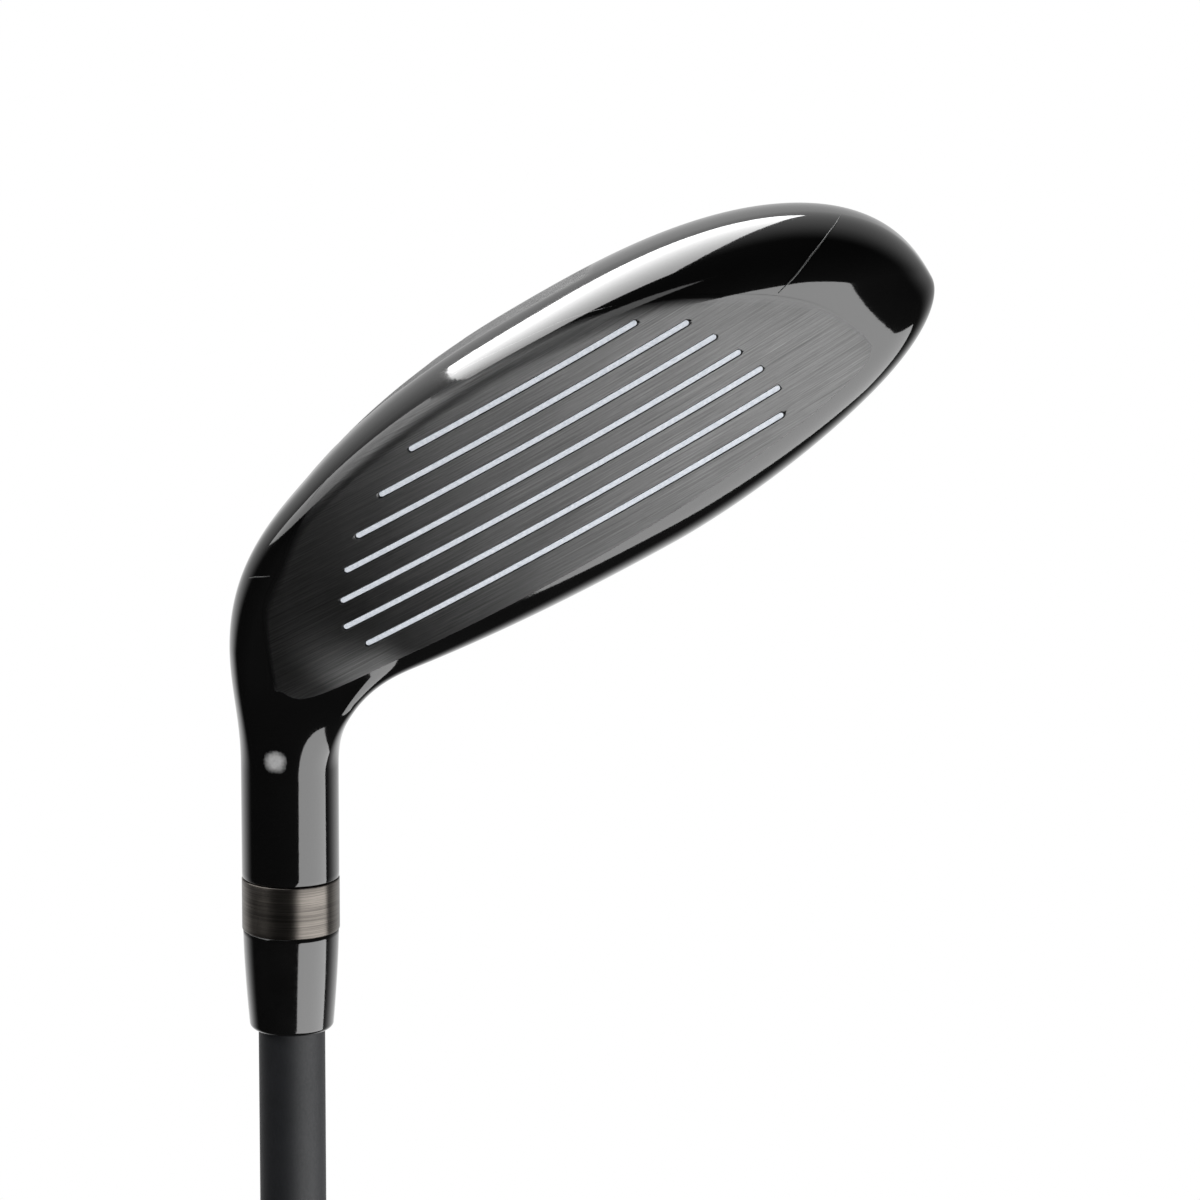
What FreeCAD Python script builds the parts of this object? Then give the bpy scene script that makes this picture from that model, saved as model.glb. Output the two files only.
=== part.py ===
import FreeCAD, Part
import math
import os

import Sketcher

# Right-handed hybrid golf club, held head up.  Millimetres.
#
# Frame: the origin is the middle of the grip cap's outer face, +Z runs along the shaft
# axis from the butt to the head, the striking face looks along -Y, and the head's toe
# points to +X and +Z.
#
# The head is set out in address terms, the way a club maker gives it: t runs from the
# shaft axis to the toe along the ground, f runs forward to the target and z runs up.
# Its origin is the point where the shaft axis meets the ground.

V = FreeCAD.Vector

DIMENSIONS = {
    # whole club
    "club_length": 1010.0,        # butt to the point where the shaft axis meets the ground
    "lie_angle": 60.3,
    "loft_angle": 20.0,
    # hosel and what is stacked on it, heights measured up the shaft from the ground point
    "hosel_radius": 6.85,
    "hosel_end": 62.0,
    "bore_radius": 4.8,
    "bore_depth": 30.0,
    "trim_gap": 0.15,
    "ring_radius": 6.88,
    "ring_length": 7.4,
    "ring_bevel": 0.12,
    "ferrule_base_radius": 6.75,
    "ferrule_end_radius": 5.95,
    "ferrule_length": 14.5,
    "ferrule_lip": 0.8,
    # neck bend, about an axis that runs along f
    "neck_t": 0.5,
    "neck_z": 53.2,
    # head shell
    "toe_t": 88.4,
    "belly_t": 40.4,              # where the crown is highest and the sole lowest
    "belly_z": 24.6,
    "crown_rise": 13.9,           # crown peak above belly_z
    "crown_heel_reach": 70.2,     # half length of the crown's arc toward the heel
    "crown_toe_power": 1.7,       # how full the crown's outline is at the toe
    "sole_heel_rise": 5.2,        # sole height at the neck
    "sole_heel_curve": 2.77,
    "sole_toe_power": 2.35,
    "back_middle": -6.0,          # f of the toe tip
    "back_reach": 38.0,           # from back_middle to the rearmost point
    "neck_back": -21.0,           # rearmost f where the neck ends
    "tail_share": 0.38,           # how far up the back stands out most
    "shell_wall": 1.3,
    # striking face: a ball of the bulge radius
    "bulge_radius": 420.0,
    "face_t": 29.5,
    "face_f": 12.3,
    "face_z": 20.0,
    "face_thickness": 2.8,
    # score lines
    "score_pitch": 3.95,
    "score_width": 0.8,
    "score_depth": 0.45,
    "score_first": -13.6,         # along the face from its middle, lowest line
    # crown plate
    "crown_plate_height": 29.0,
    "crown_plate_front": -7.0,
    "mark_size": 3.0,
    "mark_depth": 0.3,
    "mark_t": 29.3,
    "mark_f": -2.5,
    # sole weight, a screw with a hexagonal key hole
    "weight_t": 40.0,
    "weight_f": -30.0,
    "weight_z": 4.3,              # middle of the weight's outer face
    "weight_lean": 16.0,          # its axis from upright, square to the sole, degrees
    "weight_radius": 6.0,
    "weight_height": 5.0,
    "weight_key_radius": 2.3,
    "weight_key_depth": 2.5,
    # shaft
    "tip_radius": 4.7,
    "tip_straight": 90.0,
    "tip_wall": 1.9,
    "butt_radius": 7.6,
    "butt_wall": 1.1,
    "butt_straight": 280.0,
    "butt_inset": 3.6,
    "plug_length": 20.0,
    # grip
    "grip_length": 267.0,
    "grip_butt_radius": 13.4,
    "grip_mouth_radius": 9.6,
    "cap_radius": 14.6,
    "cap_thickness": 3.6,
    "cap_edge": 2.2,              # width of the cap's rounded edge
    "grip_waist": 0.6,            # how much thinner the sleeve is a quarter of the way along
    "grip_flare": 0.9,            # how much thicker than its mouth it is near the mouth
    "mouth_bevel": 0.6,
    "vent_radius": 1.5,
    "tape_thickness": 0.35,
    "tape_inset": 12.0,
}

SCORE_LINES = (               # middle along t and half length, lowest line first
    (33.7, 17.6), (33.3, 24.0), (31.5, 28.0), (30.4, 30.9), (29.7, 33.0), (29.2, 34.2), (29.1, 32.8),
)

FACE_OUTLINE = (              # t and z round the brushed face, from the heel tip along the sole side
    (-17.7, 27.4), (-13.2, 17.5), (-8.0, 13.0), (-1.5, 8.0), (5.4, 4.9), (14.9, 2.5),
    (25.1, 1.4), (35.3, 1.6), (45.5, 2.6), (55.6, 5.7), (62.2, 9.1), (69.1, 13.5),
    (74.1, 18.6), (76.9, 25.2), (75.4, 28.4), (68.6, 30.5), (61.7, 31.8), (48.1, 33.3),
    (34.3, 34.0), (20.5, 34.1), (6.6, 33.7), (-7.3, 32.7), (-14.9, 31.6), (-17.3, 29.2),
)


def make_sheet(doc):
    sheet = doc.addObject("Spreadsheet::Sheet", "dims")
    for row, (alias, value) in enumerate(DIMENSIONS.items(), start=1):
        sheet.set("A%d" % row, alias.replace("_", " "))
        sheet.set("B%d" % row, str(value))
        sheet.setAlias("B%d" % row, alias)
    doc.recompute()
    return sheet


def blend(x):
    """Smooth step from 0 to 1."""
    x = min(max(x, 0.0), 1.0)
    return x * x * (3.0 - 2.0 * x)


def mix(a, b, x):
    return a + (b - a) * x


def eased(a, b, slope, x):
    """Cubic from a, level at x = 0, to b with the given slope at x = 1."""
    return a + (b - a) * (3.0 * x ** 2 - 2.0 * x ** 3) + slope * (x ** 3 - x ** 2)


def rounded(x, power):
    """Quarter of a superellipse, 1 at x = 0 and 0 at x = 1."""
    return max(1.0 - min(abs(x), 1.0) ** power, 0.0) ** (1.0 / power)


FACE_ZONE_ANGLE = math.radians(50.0)   # half the hosel's round that turns into the face
NECK_END = 0.46                        # station by which the round hosel has become the head
NECK_CREST = 0.49                      # how far the inner side of the bend stands out midway
NECK_HEEL = 3.4                        # how full the outer side of the bend is
NECK_FRONT = 6.7                       # least f of the head's front over the hosel bore
NECK_FRONT_EASE = 1.5                  # how softly the face turns into that
SLOPE_STEP = 0.01                      # step along t for the outline's slopes at the neck
TOE_ROLL_T = 73.0                      # t past which the front rolls back to the toe
NECK_FRONT_SPAN = 0.5                  # stations over which the raised front fades out
NECK_BACK_POWER = 1.5                  # how late round the neck the back reaches its depth
BACK_POWER = 1.9                       # how late along the head the back runs in to the neck
ZONE_TURN_T = 24.0                     # t past which the face zone closes towards the toe
ZONE_LOW, ZONE_LOW_TOE = 0.12, 0.38    # face zone's low edge as a share of height, and its rise
ZONE_HIGH, ZONE_HIGH_TOE = 0.905, 0.1  # its high edge, and its fall towards the toe
TOE_ROLL_POWER = 2.5
RIDGE_SHARE, KEEL_SHARE = 0.13, 0.24   # where crown and sole lie level, as shares of the depth
EDGE_PULL, RIDGE_PULL = 0.55, 0.55     # lengths of the arcs' handles as shares of their spans
CROWN_PULL, TAIL_UP_PULL = 0.60, 0.50
TAIL_DOWN_PULL, KEEL_BACK_PULL = 0.62, 0.55
KEEL_PULL, SOLE_EDGE_PULL = 0.72, 0.60
WALL_LOW, WALL_HIGH, WALL_FRONT = 0.6, 0.3, 1.15   # the wall's share at the face zone's edges
FACE_PRISM_FRONT, FACE_PRISM_BACK = 25.0, -6.0     # f that the face's outline is carried through
SLOT_BEHIND, SLOT_REACH = 4.0, 9.0     # score slots from behind the face, and their length
BOSS_WALL, BOSS_REACH, BOSS_START = 2.2, 10.0, -8.0
HOLE_REACH, HOLE_START = 20.2, -20.0
PAINT_GAP = 0.06                       # paint lies this far below the face
TOOL_CLEAR = 5.0                        # tools run this far past what they cut
MARK_LENGTH = 0.8                      # of its width
CROWN_HEEL_T, CROWN_TOE_T = 0.0, 83.0  # ends of the crown plate
FAR = 60.0                             # well outside the head


class HeadForm:
    """The head's outer form, as closed sections from the hosel end to the toe.

    Every section holds the f direction.  Up the hosel (station -1 to 0) the sections cross
    the shaft axis, round the neck (0 to 1) they fan about the bend axis, and along the head
    (1 to 2) they cross t.  A point of a section is (f, rho), rho being its distance from
    the bend axis's side, so that rho grows from the crown to the sole.
    """

    def __init__(self, sheet):
        for alias in DIMENSIONS:
            setattr(self, alias, float(sheet.get(alias)))
        self.lie = math.radians(self.lie_angle)
        self.loft = math.radians(self.loft_angle)
        self.neck_height = self.neck_z * math.sin(self.lie) - self.neck_t * math.cos(self.lie)
        self.neck_offset = self.neck_t * math.sin(self.lie) + self.neck_z * math.cos(self.lie)

    def place(self, t, f, z):
        """Address coordinates to the club's frame."""
        return V(t * math.sin(self.lie) + z * math.cos(self.lie), -f,
                 self.club_length + t * math.cos(self.lie) - z * math.sin(self.lie))

    def spot(self, station, rho):
        """t and z of a point of a section."""
        if station < 0.0:
            height = mix(self.neck_height, self.hosel_end, -station)
            across = self.neck_offset - rho
            return (across * math.sin(self.lie) - height * math.cos(self.lie),
                    across * math.cos(self.lie) + height * math.sin(self.lie))
        if station < 1.0:
            turn = self.lie * (1.0 - station)
            return (self.neck_t - rho * math.sin(turn), self.neck_z - rho * math.cos(turn))
        return (mix(self.neck_t, self.toe_t, station - 1.0), self.neck_z - rho)

    def face_front(self, t, z):
        """f of the striking face, part of a ball of the bulge radius."""
        radius = self.bulge_radius
        centre_f = self.face_f - radius * math.cos(self.loft)
        centre_z = self.face_z - radius * math.sin(self.loft)
        return centre_f + math.sqrt(radius ** 2 - (t - self.face_t) ** 2 - (z - centre_z) ** 2)

    def head_front(self, station, rho):
        """f of the head's front on a section: the ball, raised at the neck over the bore."""
        ball = self.face_front(*self.spot(station, rho))
        raised = 0.5 * (ball + NECK_FRONT + math.hypot(ball - NECK_FRONT, NECK_FRONT_EASE))
        return mix(ball, raised, blend((1.0 - station) / NECK_FRONT_SPAN))

    def outline(self, t):
        """Crown, sole, back and the face zone's low and high edges at t along the head."""
        across = (t - self.belly_t) / (self.toe_t - self.belly_t)
        heelward = max((self.belly_t - t) / (self.belly_t - self.neck_t), 0.0)
        deepest = self.back_middle - self.back_reach
        if t > self.belly_t:
            crown = self.belly_z + self.crown_rise * rounded(across, self.crown_toe_power)
            sole = self.belly_z * (1.0 - rounded(across, self.sole_toe_power))
            back = self.back_middle - self.back_reach * rounded(across, self.sole_toe_power)
        else:
            reach = (self.belly_t - t) / self.crown_heel_reach
            crown = self.belly_z + self.crown_rise * rounded(reach, 2.0)
            sole = self.sole_heel_rise * heelward ** self.sole_heel_curve
            back = mix(deepest, self.neck_back, heelward ** BACK_POWER)
        toeward = max((t - ZONE_TURN_T) / (self.toe_t - ZONE_TURN_T), 0.0)
        low = sole + (crown - sole) * (ZONE_LOW + ZONE_LOW_TOE * toeward ** BACK_POWER)
        high = sole + (crown - sole) * (ZONE_HIGH - ZONE_HIGH_TOE * toeward ** 2)
        return crown, sole, back, low, high

    def limits(self, station):
        """rho of the crown and the sole, f of the back, and rho of the face zone's two edges."""
        edge = self.hosel_radius * math.sin(FACE_ZONE_ANGLE)
        hosel = (self.neck_offset - self.hosel_radius, self.neck_offset + self.hosel_radius,
                 -self.hosel_radius, self.neck_offset + edge, self.neck_offset - edge)
        if station <= 0.0:
            return hosel
        if station >= 1.0:
            crown, sole, back, low, high = self.outline(
                mix(self.neck_t, self.toe_t, station - 1.0))
            return (self.neck_z - crown, self.neck_z - sole, back,
                    self.neck_z - low, self.neck_z - high)
        heights, beyond = self.outline(self.neck_t), self.outline(self.neck_t + SLOPE_STEP)
        values = []
        for index, start in enumerate(hosel):
            if index == 2:
                values.append(mix(start, heights[index], station ** NECK_BACK_POWER))
                continue
            end = self.neck_z - heights[index]
            slope = -(beyond[index] - heights[index]) / SLOPE_STEP * end * self.lie
            values.append(eased(start, end, slope, station))
        values[0] += NECK_CREST * 16.0 * station ** 2 * (1.0 - station) ** 2
        swell = NECK_HEEL * (self.neck_z - heights[1] - hosel[1])
        values[1] += swell * station ** 3 * (1.0 - station) ** 2
        return tuple(values)

    def section(self, station, wall=0.0):
        """Five cubic arcs as lists of (f, rho): face, crown edge, crown, tail and sole."""
        top, low, back, face_low, face_high = self.limits(station)
        top, low, back = top + wall, low - wall, back + wall
        face_low, face_high = face_low - wall * WALL_LOW, face_high + wall * WALL_HIGH
        round_front = self.hosel_radius * math.cos(FACE_ZONE_ANGLE)
        spread = blend(station / NECK_END)
        fronts, ways = [], []
        for rho in (face_low, face_high):
            t = self.spot(station, rho)[0]
            skin = self.head_front(station, rho)
            front = skin - wall * WALL_FRONT
            past = max((t - TOE_ROLL_T) / (self.toe_t - TOE_ROLL_T), 0.0)
            fade = rounded(past, TOE_ROLL_POWER)
            front = self.back_middle + (front - self.back_middle) * fade
            fronts.append(mix(round_front, front, spread))
            climb = (self.head_front(station, rho - SLOPE_STEP) - skin) / SLOPE_STEP
            ways.append((climb / math.hypot(climb, 1.0), -1.0 / math.hypot(climb, 1.0)))
        low_f, high_f = fronts
        depth_low, depth_high = low_f - back, high_f - back
        arc = 4.0 / 3.0 * math.tan((math.pi / 2.0 - FACE_ZONE_ANGLE) / 4.0) * self.hosel_radius
        quarter = 4.0 / 3.0 * math.tan(math.pi / 8.0) * self.hosel_radius
        front_arc = 4.0 / 3.0 * math.tan(FACE_ZONE_ANGLE / 2.0) * self.hosel_radius
        sin_zone, cos_zone = math.sin(FACE_ZONE_ANGLE), math.cos(FACE_ZONE_ANGLE)
        # how the outline leaves the face zone's low and high edges, pointing up the face
        low_way = (mix(sin_zone, ways[0][0], spread), mix(-cos_zone, ways[0][1], spread))
        high_way = (mix(-sin_zone, ways[1][0], spread), mix(-cos_zone, ways[1][1], spread))
        third = math.hypot(face_low - face_high, low_f - high_f) / 3.0
        face_pull = mix(front_arc, third, spread)
        ridge = (mix(0.0, high_f - RIDGE_SHARE * depth_high, spread), top)
        keel = (mix(0.0, low_f - KEEL_SHARE * depth_low, spread), low)
        tail = (back, mix(self.neck_offset, mix(low, top, self.tail_share), spread))
        p_low, p_high = (low_f, face_low), (high_f, face_high)

        def off(point, way, size):
            return (point[0] + way[0] * size, point[1] + way[1] * size)

        edge_high = mix(arc, EDGE_PULL * (face_high - top), spread)
        edge_low = mix(arc, SOLE_EDGE_PULL * (low - face_low), spread)
        return [
            [p_low, off(p_low, low_way, face_pull), off(p_high, high_way, -face_pull), p_high],
            [p_high, off(p_high, high_way, edge_high),
             off(ridge, (1.0, 0.0), mix(arc, RIDGE_PULL * (high_f - ridge[0]), spread)), ridge],
            [ridge, off(ridge, (-1.0, 0.0), mix(quarter, CROWN_PULL * (ridge[0] - back), spread)),
             off(tail, (0.0, -1.0), mix(quarter, TAIL_UP_PULL * (tail[1] - top), spread)), tail],
            [tail, off(tail, (0.0, 1.0), mix(quarter, TAIL_DOWN_PULL * (low - tail[1]), spread)),
             off(keel, (-1.0, 0.0), mix(quarter, KEEL_BACK_PULL * (keel[0] - back), spread)), keel],
            [keel, off(keel, (1.0, 0.0), mix(arc, KEEL_PULL * (low_f - keel[0]), spread)),
             off(p_low, low_way, -edge_low), p_low],
        ]

    def wire(self, station, wall=0.0):
        edges = []
        for arc in self.section(station, wall):
            curve = Part.BezierCurve()
            poles = []
            for f, rho in arc:
                t, z = self.spot(station, rho)
                poles.append(self.place(t, f, z))
            curve.setPoles(poles)
            edges.append(curve.toShape())
        return Part.Wire(edges)


def add_shape(doc, name, shape):
    """A Part::Feature for a shape that has no feature of its own."""
    feature = doc.addObject("Part::Feature", name)
    feature.Shape = shape
    return feature


def boolean(doc, kind, name, base, tool):
    """Part::Cut or Part::Common of two objects."""
    result = doc.addObject("Part::" + kind, name)
    result.Base, result.Tool = base, tool
    return result


def fuse(doc, name, shapes):
    result = doc.addObject("Part::MultiFuse", name)
    result.Shapes = shapes
    return result


def bind(thing, **sizes):
    """Bind properties to the sheet; a double underscore stands for a dot."""
    for path, expression in sizes.items():
        thing.setExpression(path.replace("__", "."), expression)
    return thing


def turned_body(doc, name, base_height, corners):
    """A PartDesign body turned about the shaft axis.

    corners are (radius, height) expressions round the profile, heights from the piece's
    own base, which stands at base_height.
    """
    body = doc.addObject("PartDesign::Body", name)
    plane = [item for item in body.Origin.OriginFeatures if item.Role == "XZ_Plane"][0]
    sketch = body.newObject("Sketcher::SketchObject", name + "_profile")
    sketch.AttachmentSupport = [(plane, "")]
    sketch.MapMode = "FlatFace"
    doc.recompute()
    points = [V(sketch.evalExpression(r), sketch.evalExpression(z), 0) for r, z in corners]
    count = len(points)
    for i in range(count):
        sketch.addGeometry(Part.LineSegment(points[i], points[(i + 1) % count]), False)
    for i in range(count):
        sketch.addConstraint(Sketcher.Constraint("Coincident", i, 2, (i + 1) % count, 1))
    for i, (radius, height) in enumerate(corners):
        for kind, label, value, expression in (("DistanceX", "r", points[i].x, radius),
                                               ("DistanceY", "z", points[i].y, height)):
            index = sketch.addConstraint(Sketcher.Constraint(kind, -1, 1, i, 1, value))
            sketch.renameConstraint(index, "%s%d" % (label, i))
            sketch.setExpression("Constraints.%s%d" % (label, i), expression)
    turn = body.newObject("PartDesign::Revolution", name + "_turned")
    turn.Profile = sketch
    turn.ReferenceAxis = (sketch, ["V_Axis"])
    turn.Angle = 360.0
    body.setExpression("Placement.Base.z", base_height)
    return body


def head_loft(doc, name, form, stations, wall=0.0):
    wires = [form.wire(station, wall) for station in stations]
    return add_shape(doc, name, Part.makeLoft(wires, True, False))


def face_prism(form):
    """The brushed face's outline, carried through the front of the head along f."""
    curve = Part.BSplineCurve()
    curve.interpolate([form.place(t, FACE_PRISM_FRONT, z) for t, z in FACE_OUTLINE], True)
    face = Part.Face(Part.Wire(curve.toShape()))
    return face.extrude(form.place(0, FACE_PRISM_BACK, 0) - form.place(0, FACE_PRISM_FRONT, 0))


def score_slots(form):
    """Seven round-ended slots, square to the face and well through it."""
    along = form.place(1, 0, 0) - form.place(0, 0, 0)
    climb = form.place(0, -math.sin(form.loft), math.cos(form.loft)) - form.place(0, 0, 0)
    square = form.place(0, math.cos(form.loft), math.sin(form.loft)) - form.place(0, 0, 0)
    half_width = form.score_width / 2.0
    slots = []
    for number, (middle, half_length) in enumerate(SCORE_LINES):
        rise = form.score_first + number * form.score_pitch
        centre = form.place(middle, form.face_f, form.face_z) + climb * rise
        centre = centre - square * SLOT_BEHIND
        reach = along * (half_length - half_width)
        side, nose = climb * half_width, along * half_width
        a, b = centre - reach + side, centre + reach + side
        c, d = centre + reach - side, centre - reach - side
        outline = Part.Wire([
            Part.LineSegment(a, b).toShape(),
            Part.Arc(b, centre + reach + nose, c).toShape(),
            Part.LineSegment(c, d).toShape(),
            Part.Arc(d, centre - reach - nose, a).toShape()])
        slots.append(Part.Face(outline).extrude(square * SLOT_REACH))
    return Part.makeCompound(slots)


def address_box(form, t_span, f_span, z_span):
    """A box set square to the address directions, each span (lowest, highest)."""
    corner = form.place(t_span[0], f_span[1], z_span[0])
    along = form.place(1, 0, 0) - form.place(0, 0, 0)
    back = form.place(0, -1, 0) - form.place(0, 0, 0)
    up = form.place(0, 0, 1) - form.place(0, 0, 0)
    base = [corner, corner + along * (t_span[1] - t_span[0])]
    base += [base[1] + back * (f_span[1] - f_span[0]), corner + back * (f_span[1] - f_span[0])]
    return Part.Face(Part.makePolygon(base + [corner])).extrude(up * (z_span[1] - z_span[0]))


def weight_axis(form, inward):
    """Placement on the sole weight's axis, inward of its outer face, with Z pointing in."""
    lean = math.radians(form.weight_lean)
    axis = form.place(0, math.sin(lean), math.cos(lean)) - form.place(0, 0, 0)
    base = form.place(form.weight_t, form.weight_f, form.weight_z) + axis * inward
    return FreeCAD.Placement(base, FreeCAD.Rotation(V(0, 0, 1), axis))


def make_head(doc, form):
    stations = [-1.0, -0.75, -0.5, -0.25] + [0.125 * i for i in range(0, 16)] + [1.93, 1.97, 1.99]
    outer = head_loft(doc, "head_form", form, stations)
    cavity = head_loft(doc, "head_cavity", form,
                       [1.0 + 0.08 * i for i in range(0, 12)], form.shell_wall)
    prism = add_shape(doc, "face_prism", face_prism(form))
    slots = add_shape(doc, "score_slots", score_slots(form))

    ball_centre = form.place(form.face_t, form.face_f - form.bulge_radius * math.cos(form.loft),
                             form.face_z - form.bulge_radius * math.sin(form.loft))
    balls = {}
    for name, radius in (("face_back_ball", "dims.bulge_radius - dims.face_thickness"),
                         ("score_floor_ball", "dims.bulge_radius - dims.score_depth"),
                         ("score_paint_ball", "dims.bulge_radius - %r" % PAINT_GAP)):
        ball = bind(doc.addObject("Part::Sphere", name), Radius=radius)
        ball.Placement.Base = ball_centre
        balls[name] = ball

    bore = bind(doc.addObject("Part::Cylinder", "hosel_bore"), Radius="dims.bore_radius",
                Height="dims.bore_depth + %r" % TOOL_CLEAR,
                Placement__Base__z="dims.club_length - dims.hosel_end - %r" % TOOL_CLEAR)

    boss = bind(doc.addObject("Part::Cylinder", "weight_boss"),
                Radius="dims.weight_radius + %r" % BOSS_WALL,
                Height="dims.weight_height + %r" % BOSS_REACH)
    boss.Placement = weight_axis(form, BOSS_START)
    weight_hole = bind(doc.addObject("Part::Cylinder", "weight_hole"), Radius="dims.weight_radius",
                       Height="dims.weight_height + %r" % HOLE_REACH)
    weight_hole.Placement = weight_axis(form, HOLE_START)

    opening = boolean(doc, "Cut", "face_opening", prism, balls["face_back_ball"])
    blank = boolean(doc, "Common", "face_blank", outer, opening)
    grooves = boolean(doc, "Cut", "score_grooves", slots, balls["score_floor_ball"])
    plate = boolean(doc, "Cut", "face_plate", blank, grooves)
    paint_band = boolean(doc, "Common", "score_paint_band", grooves, balls["score_paint_ball"])
    fill = boolean(doc, "Common", "score_line_fill", paint_band, outer)

    crown_block = add_shape(doc, "crown_block", address_box(
        form, (CROWN_HEEL_T, CROWN_TOE_T), (-FAR, form.crown_plate_front),
        (form.crown_plate_height, FAR)))
    shell = boolean(doc, "Cut", "head_shell", outer, cavity)
    crown = boolean(doc, "Common", "crown_plate", shell, crown_block)
    mark_prism = add_shape(doc, "mark_prism", mark_triangle(form))
    sunk = add_shape(doc, "head_form_sunk", outer.Shape.translated(
        form.place(0, 0, -form.mark_depth) - form.place(0, 0, 0)))
    mark_pocket = boolean(doc, "Cut", "mark_pocket", mark_prism, sunk)
    mark = boolean(doc, "Common", "alignment_mark", outer, mark_pocket)

    boss_inside = boolean(doc, "Common", "weight_boss_inside", outer, boss)
    body = fuse(doc, "head_casting", [shell, boss_inside])
    for name, tool in (("bored", bore), ("weight_holed", weight_hole), ("face_opened", opening),
                       ("crown_opened", crown_block), ("marked", mark_pocket)):
        body = boolean(doc, "Cut", "head_" + name, body, tool)
    body.Label = "head_body"

    screw = bind(doc.addObject("Part::Cylinder", "weight_slug"),
                 Radius="dims.weight_radius - 0.05", Height="dims.weight_height")
    screw.Placement = weight_axis(form, 0.0)
    socket = bind(doc.addObject("Part::Prism", "weight_socket"), Polygon="6",
                  Circumradius="dims.weight_key_radius", Height="dims.weight_key_depth + %r" % TOOL_CLEAR)
    socket.Placement = weight_axis(form, -TOOL_CLEAR)
    weight = boolean(doc, "Cut", "sole_weight", screw, socket)
    doc.recompute()
    return [body, plate, fill, crown, mark, weight]


def mark_triangle(form):
    """A plain triangle on the crown's front edge, pointing back, as a block along z."""
    half, depth = form.mark_size / 2.0, form.mark_size * MARK_LENGTH
    corners = [(form.mark_t - half, form.mark_f), (form.mark_t + half, form.mark_f),
               (form.mark_t, form.mark_f - depth)]
    points = [form.place(t, f, form.crown_plate_height) for t, f in corners]
    up = form.place(0, 0, 1) - form.place(0, 0, 0)
    return Part.Face(Part.makePolygon(points + [points[0]])).extrude(up * FAR)


def make_hosel_fittings(doc):
    """Trim ring and ferrule on the shaft above the hosel, and the glue that holds the shaft."""
    ring = turned_body(
        doc, "hosel_ring", "dims.club_length - dims.hosel_end - dims.trim_gap - dims.ring_length", [
            ("dims.tip_radius", "0"),
            ("dims.ring_radius - dims.ring_bevel", "0"),
            ("dims.ring_radius", "dims.ring_bevel"),
            ("dims.ring_radius", "dims.ring_length - dims.ring_bevel"),
            ("dims.ring_radius - dims.ring_bevel", "dims.ring_length"),
            ("dims.tip_radius", "dims.ring_length")])
    ferrule = turned_body(
        doc, "ferrule",
        "dims.club_length - dims.hosel_end - dims.trim_gap - dims.ring_length - dims.ferrule_length", [
            ("dims.tip_radius", "0"),
            ("dims.ferrule_end_radius - dims.ferrule_lip", "0"),
            ("dims.ferrule_end_radius - 0.25 * dims.ferrule_lip", "0.25 * dims.ferrule_lip"),
            ("dims.ferrule_end_radius", "dims.ferrule_lip"),
            ("dims.ferrule_base_radius", "dims.ferrule_length"),
            ("dims.tip_radius", "dims.ferrule_length")])
    glue = turned_body(
        doc, "shaft_bond", "dims.club_length - dims.hosel_end", [
            ("dims.tip_radius", "0"),
            ("dims.bore_radius", "0"),
            ("dims.bore_radius", "dims.bore_depth"),
            ("dims.tip_radius", "dims.bore_depth")])
    return [ring, ferrule, glue]


def make_shaft(doc):
    """Hollow shaft, straight at the butt and the tip and tapered between, and its tip weight."""
    shaft_length = "(dims.club_length - dims.hosel_end + dims.bore_depth - dims.butt_inset)"
    shaft = turned_body(
        doc, "shaft", "dims.butt_inset", [
            ("dims.butt_radius - dims.butt_wall", "0"),
            ("dims.butt_radius", "0"),
            ("dims.butt_radius", "dims.butt_straight"),
            ("dims.tip_radius", shaft_length + " - dims.tip_straight"),
            ("dims.tip_radius", shaft_length),
            ("dims.tip_radius - dims.tip_wall", shaft_length),
            ("dims.tip_radius - dims.tip_wall", shaft_length + " - dims.tip_straight"),
            ("dims.butt_radius - dims.butt_wall", "dims.butt_straight")])
    plug = bind(doc.addObject("Part::Cylinder", "tip_weight"),
                Radius="dims.tip_radius - dims.tip_wall", Height="dims.plug_length",
                Placement__Base__z="dims.club_length - dims.hosel_end + dims.bore_depth - dims.plug_length")
    return [shaft, plug]


def make_grip(doc):
    """Rubber sleeve over two-sided tape, with a moulded cap that stops the shaft's butt."""
    tape = turned_body(
        doc, "grip_tape", "dims.butt_inset", [
            ("dims.butt_radius", "0"),
            ("dims.butt_radius + dims.tape_thickness", "0"),
            ("dims.butt_radius + dims.tape_thickness", "dims.grip_length - dims.tape_inset"),
            ("dims.butt_radius", "dims.grip_length - dims.tape_inset")])
    sleeve = turned_body(
        doc, "grip_sleeve", "dims.cap_thickness", [
            ("dims.butt_radius + dims.tape_thickness", "0"),
            ("dims.grip_butt_radius", "0"),
            ("dims.grip_butt_radius - dims.grip_waist", "0.25 * dims.grip_length"),
            ("dims.grip_mouth_radius + dims.grip_flare", "0.8 * dims.grip_length"),
            ("dims.grip_mouth_radius",
             "dims.grip_length - dims.cap_thickness - dims.mouth_bevel"),
            ("dims.grip_mouth_radius - dims.mouth_bevel", "dims.grip_length - dims.cap_thickness"),
            ("dims.butt_radius + dims.tape_thickness", "dims.grip_length - dims.cap_thickness")])
    cap = turned_body(
        doc, "grip_cap", "0", [
            ("dims.vent_radius", "0"),
            ("dims.cap_radius - dims.cap_edge", "0"),
            ("dims.cap_radius - 0.27 * dims.cap_edge", "0.3 * dims.cap_edge"),
            ("dims.cap_radius", "0.9 * dims.cap_edge"),
            ("dims.cap_radius - 0.18 * dims.cap_edge", "dims.cap_thickness"),
            ("dims.vent_radius", "dims.cap_thickness")])
    return [tape, sleeve, cap]


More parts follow.
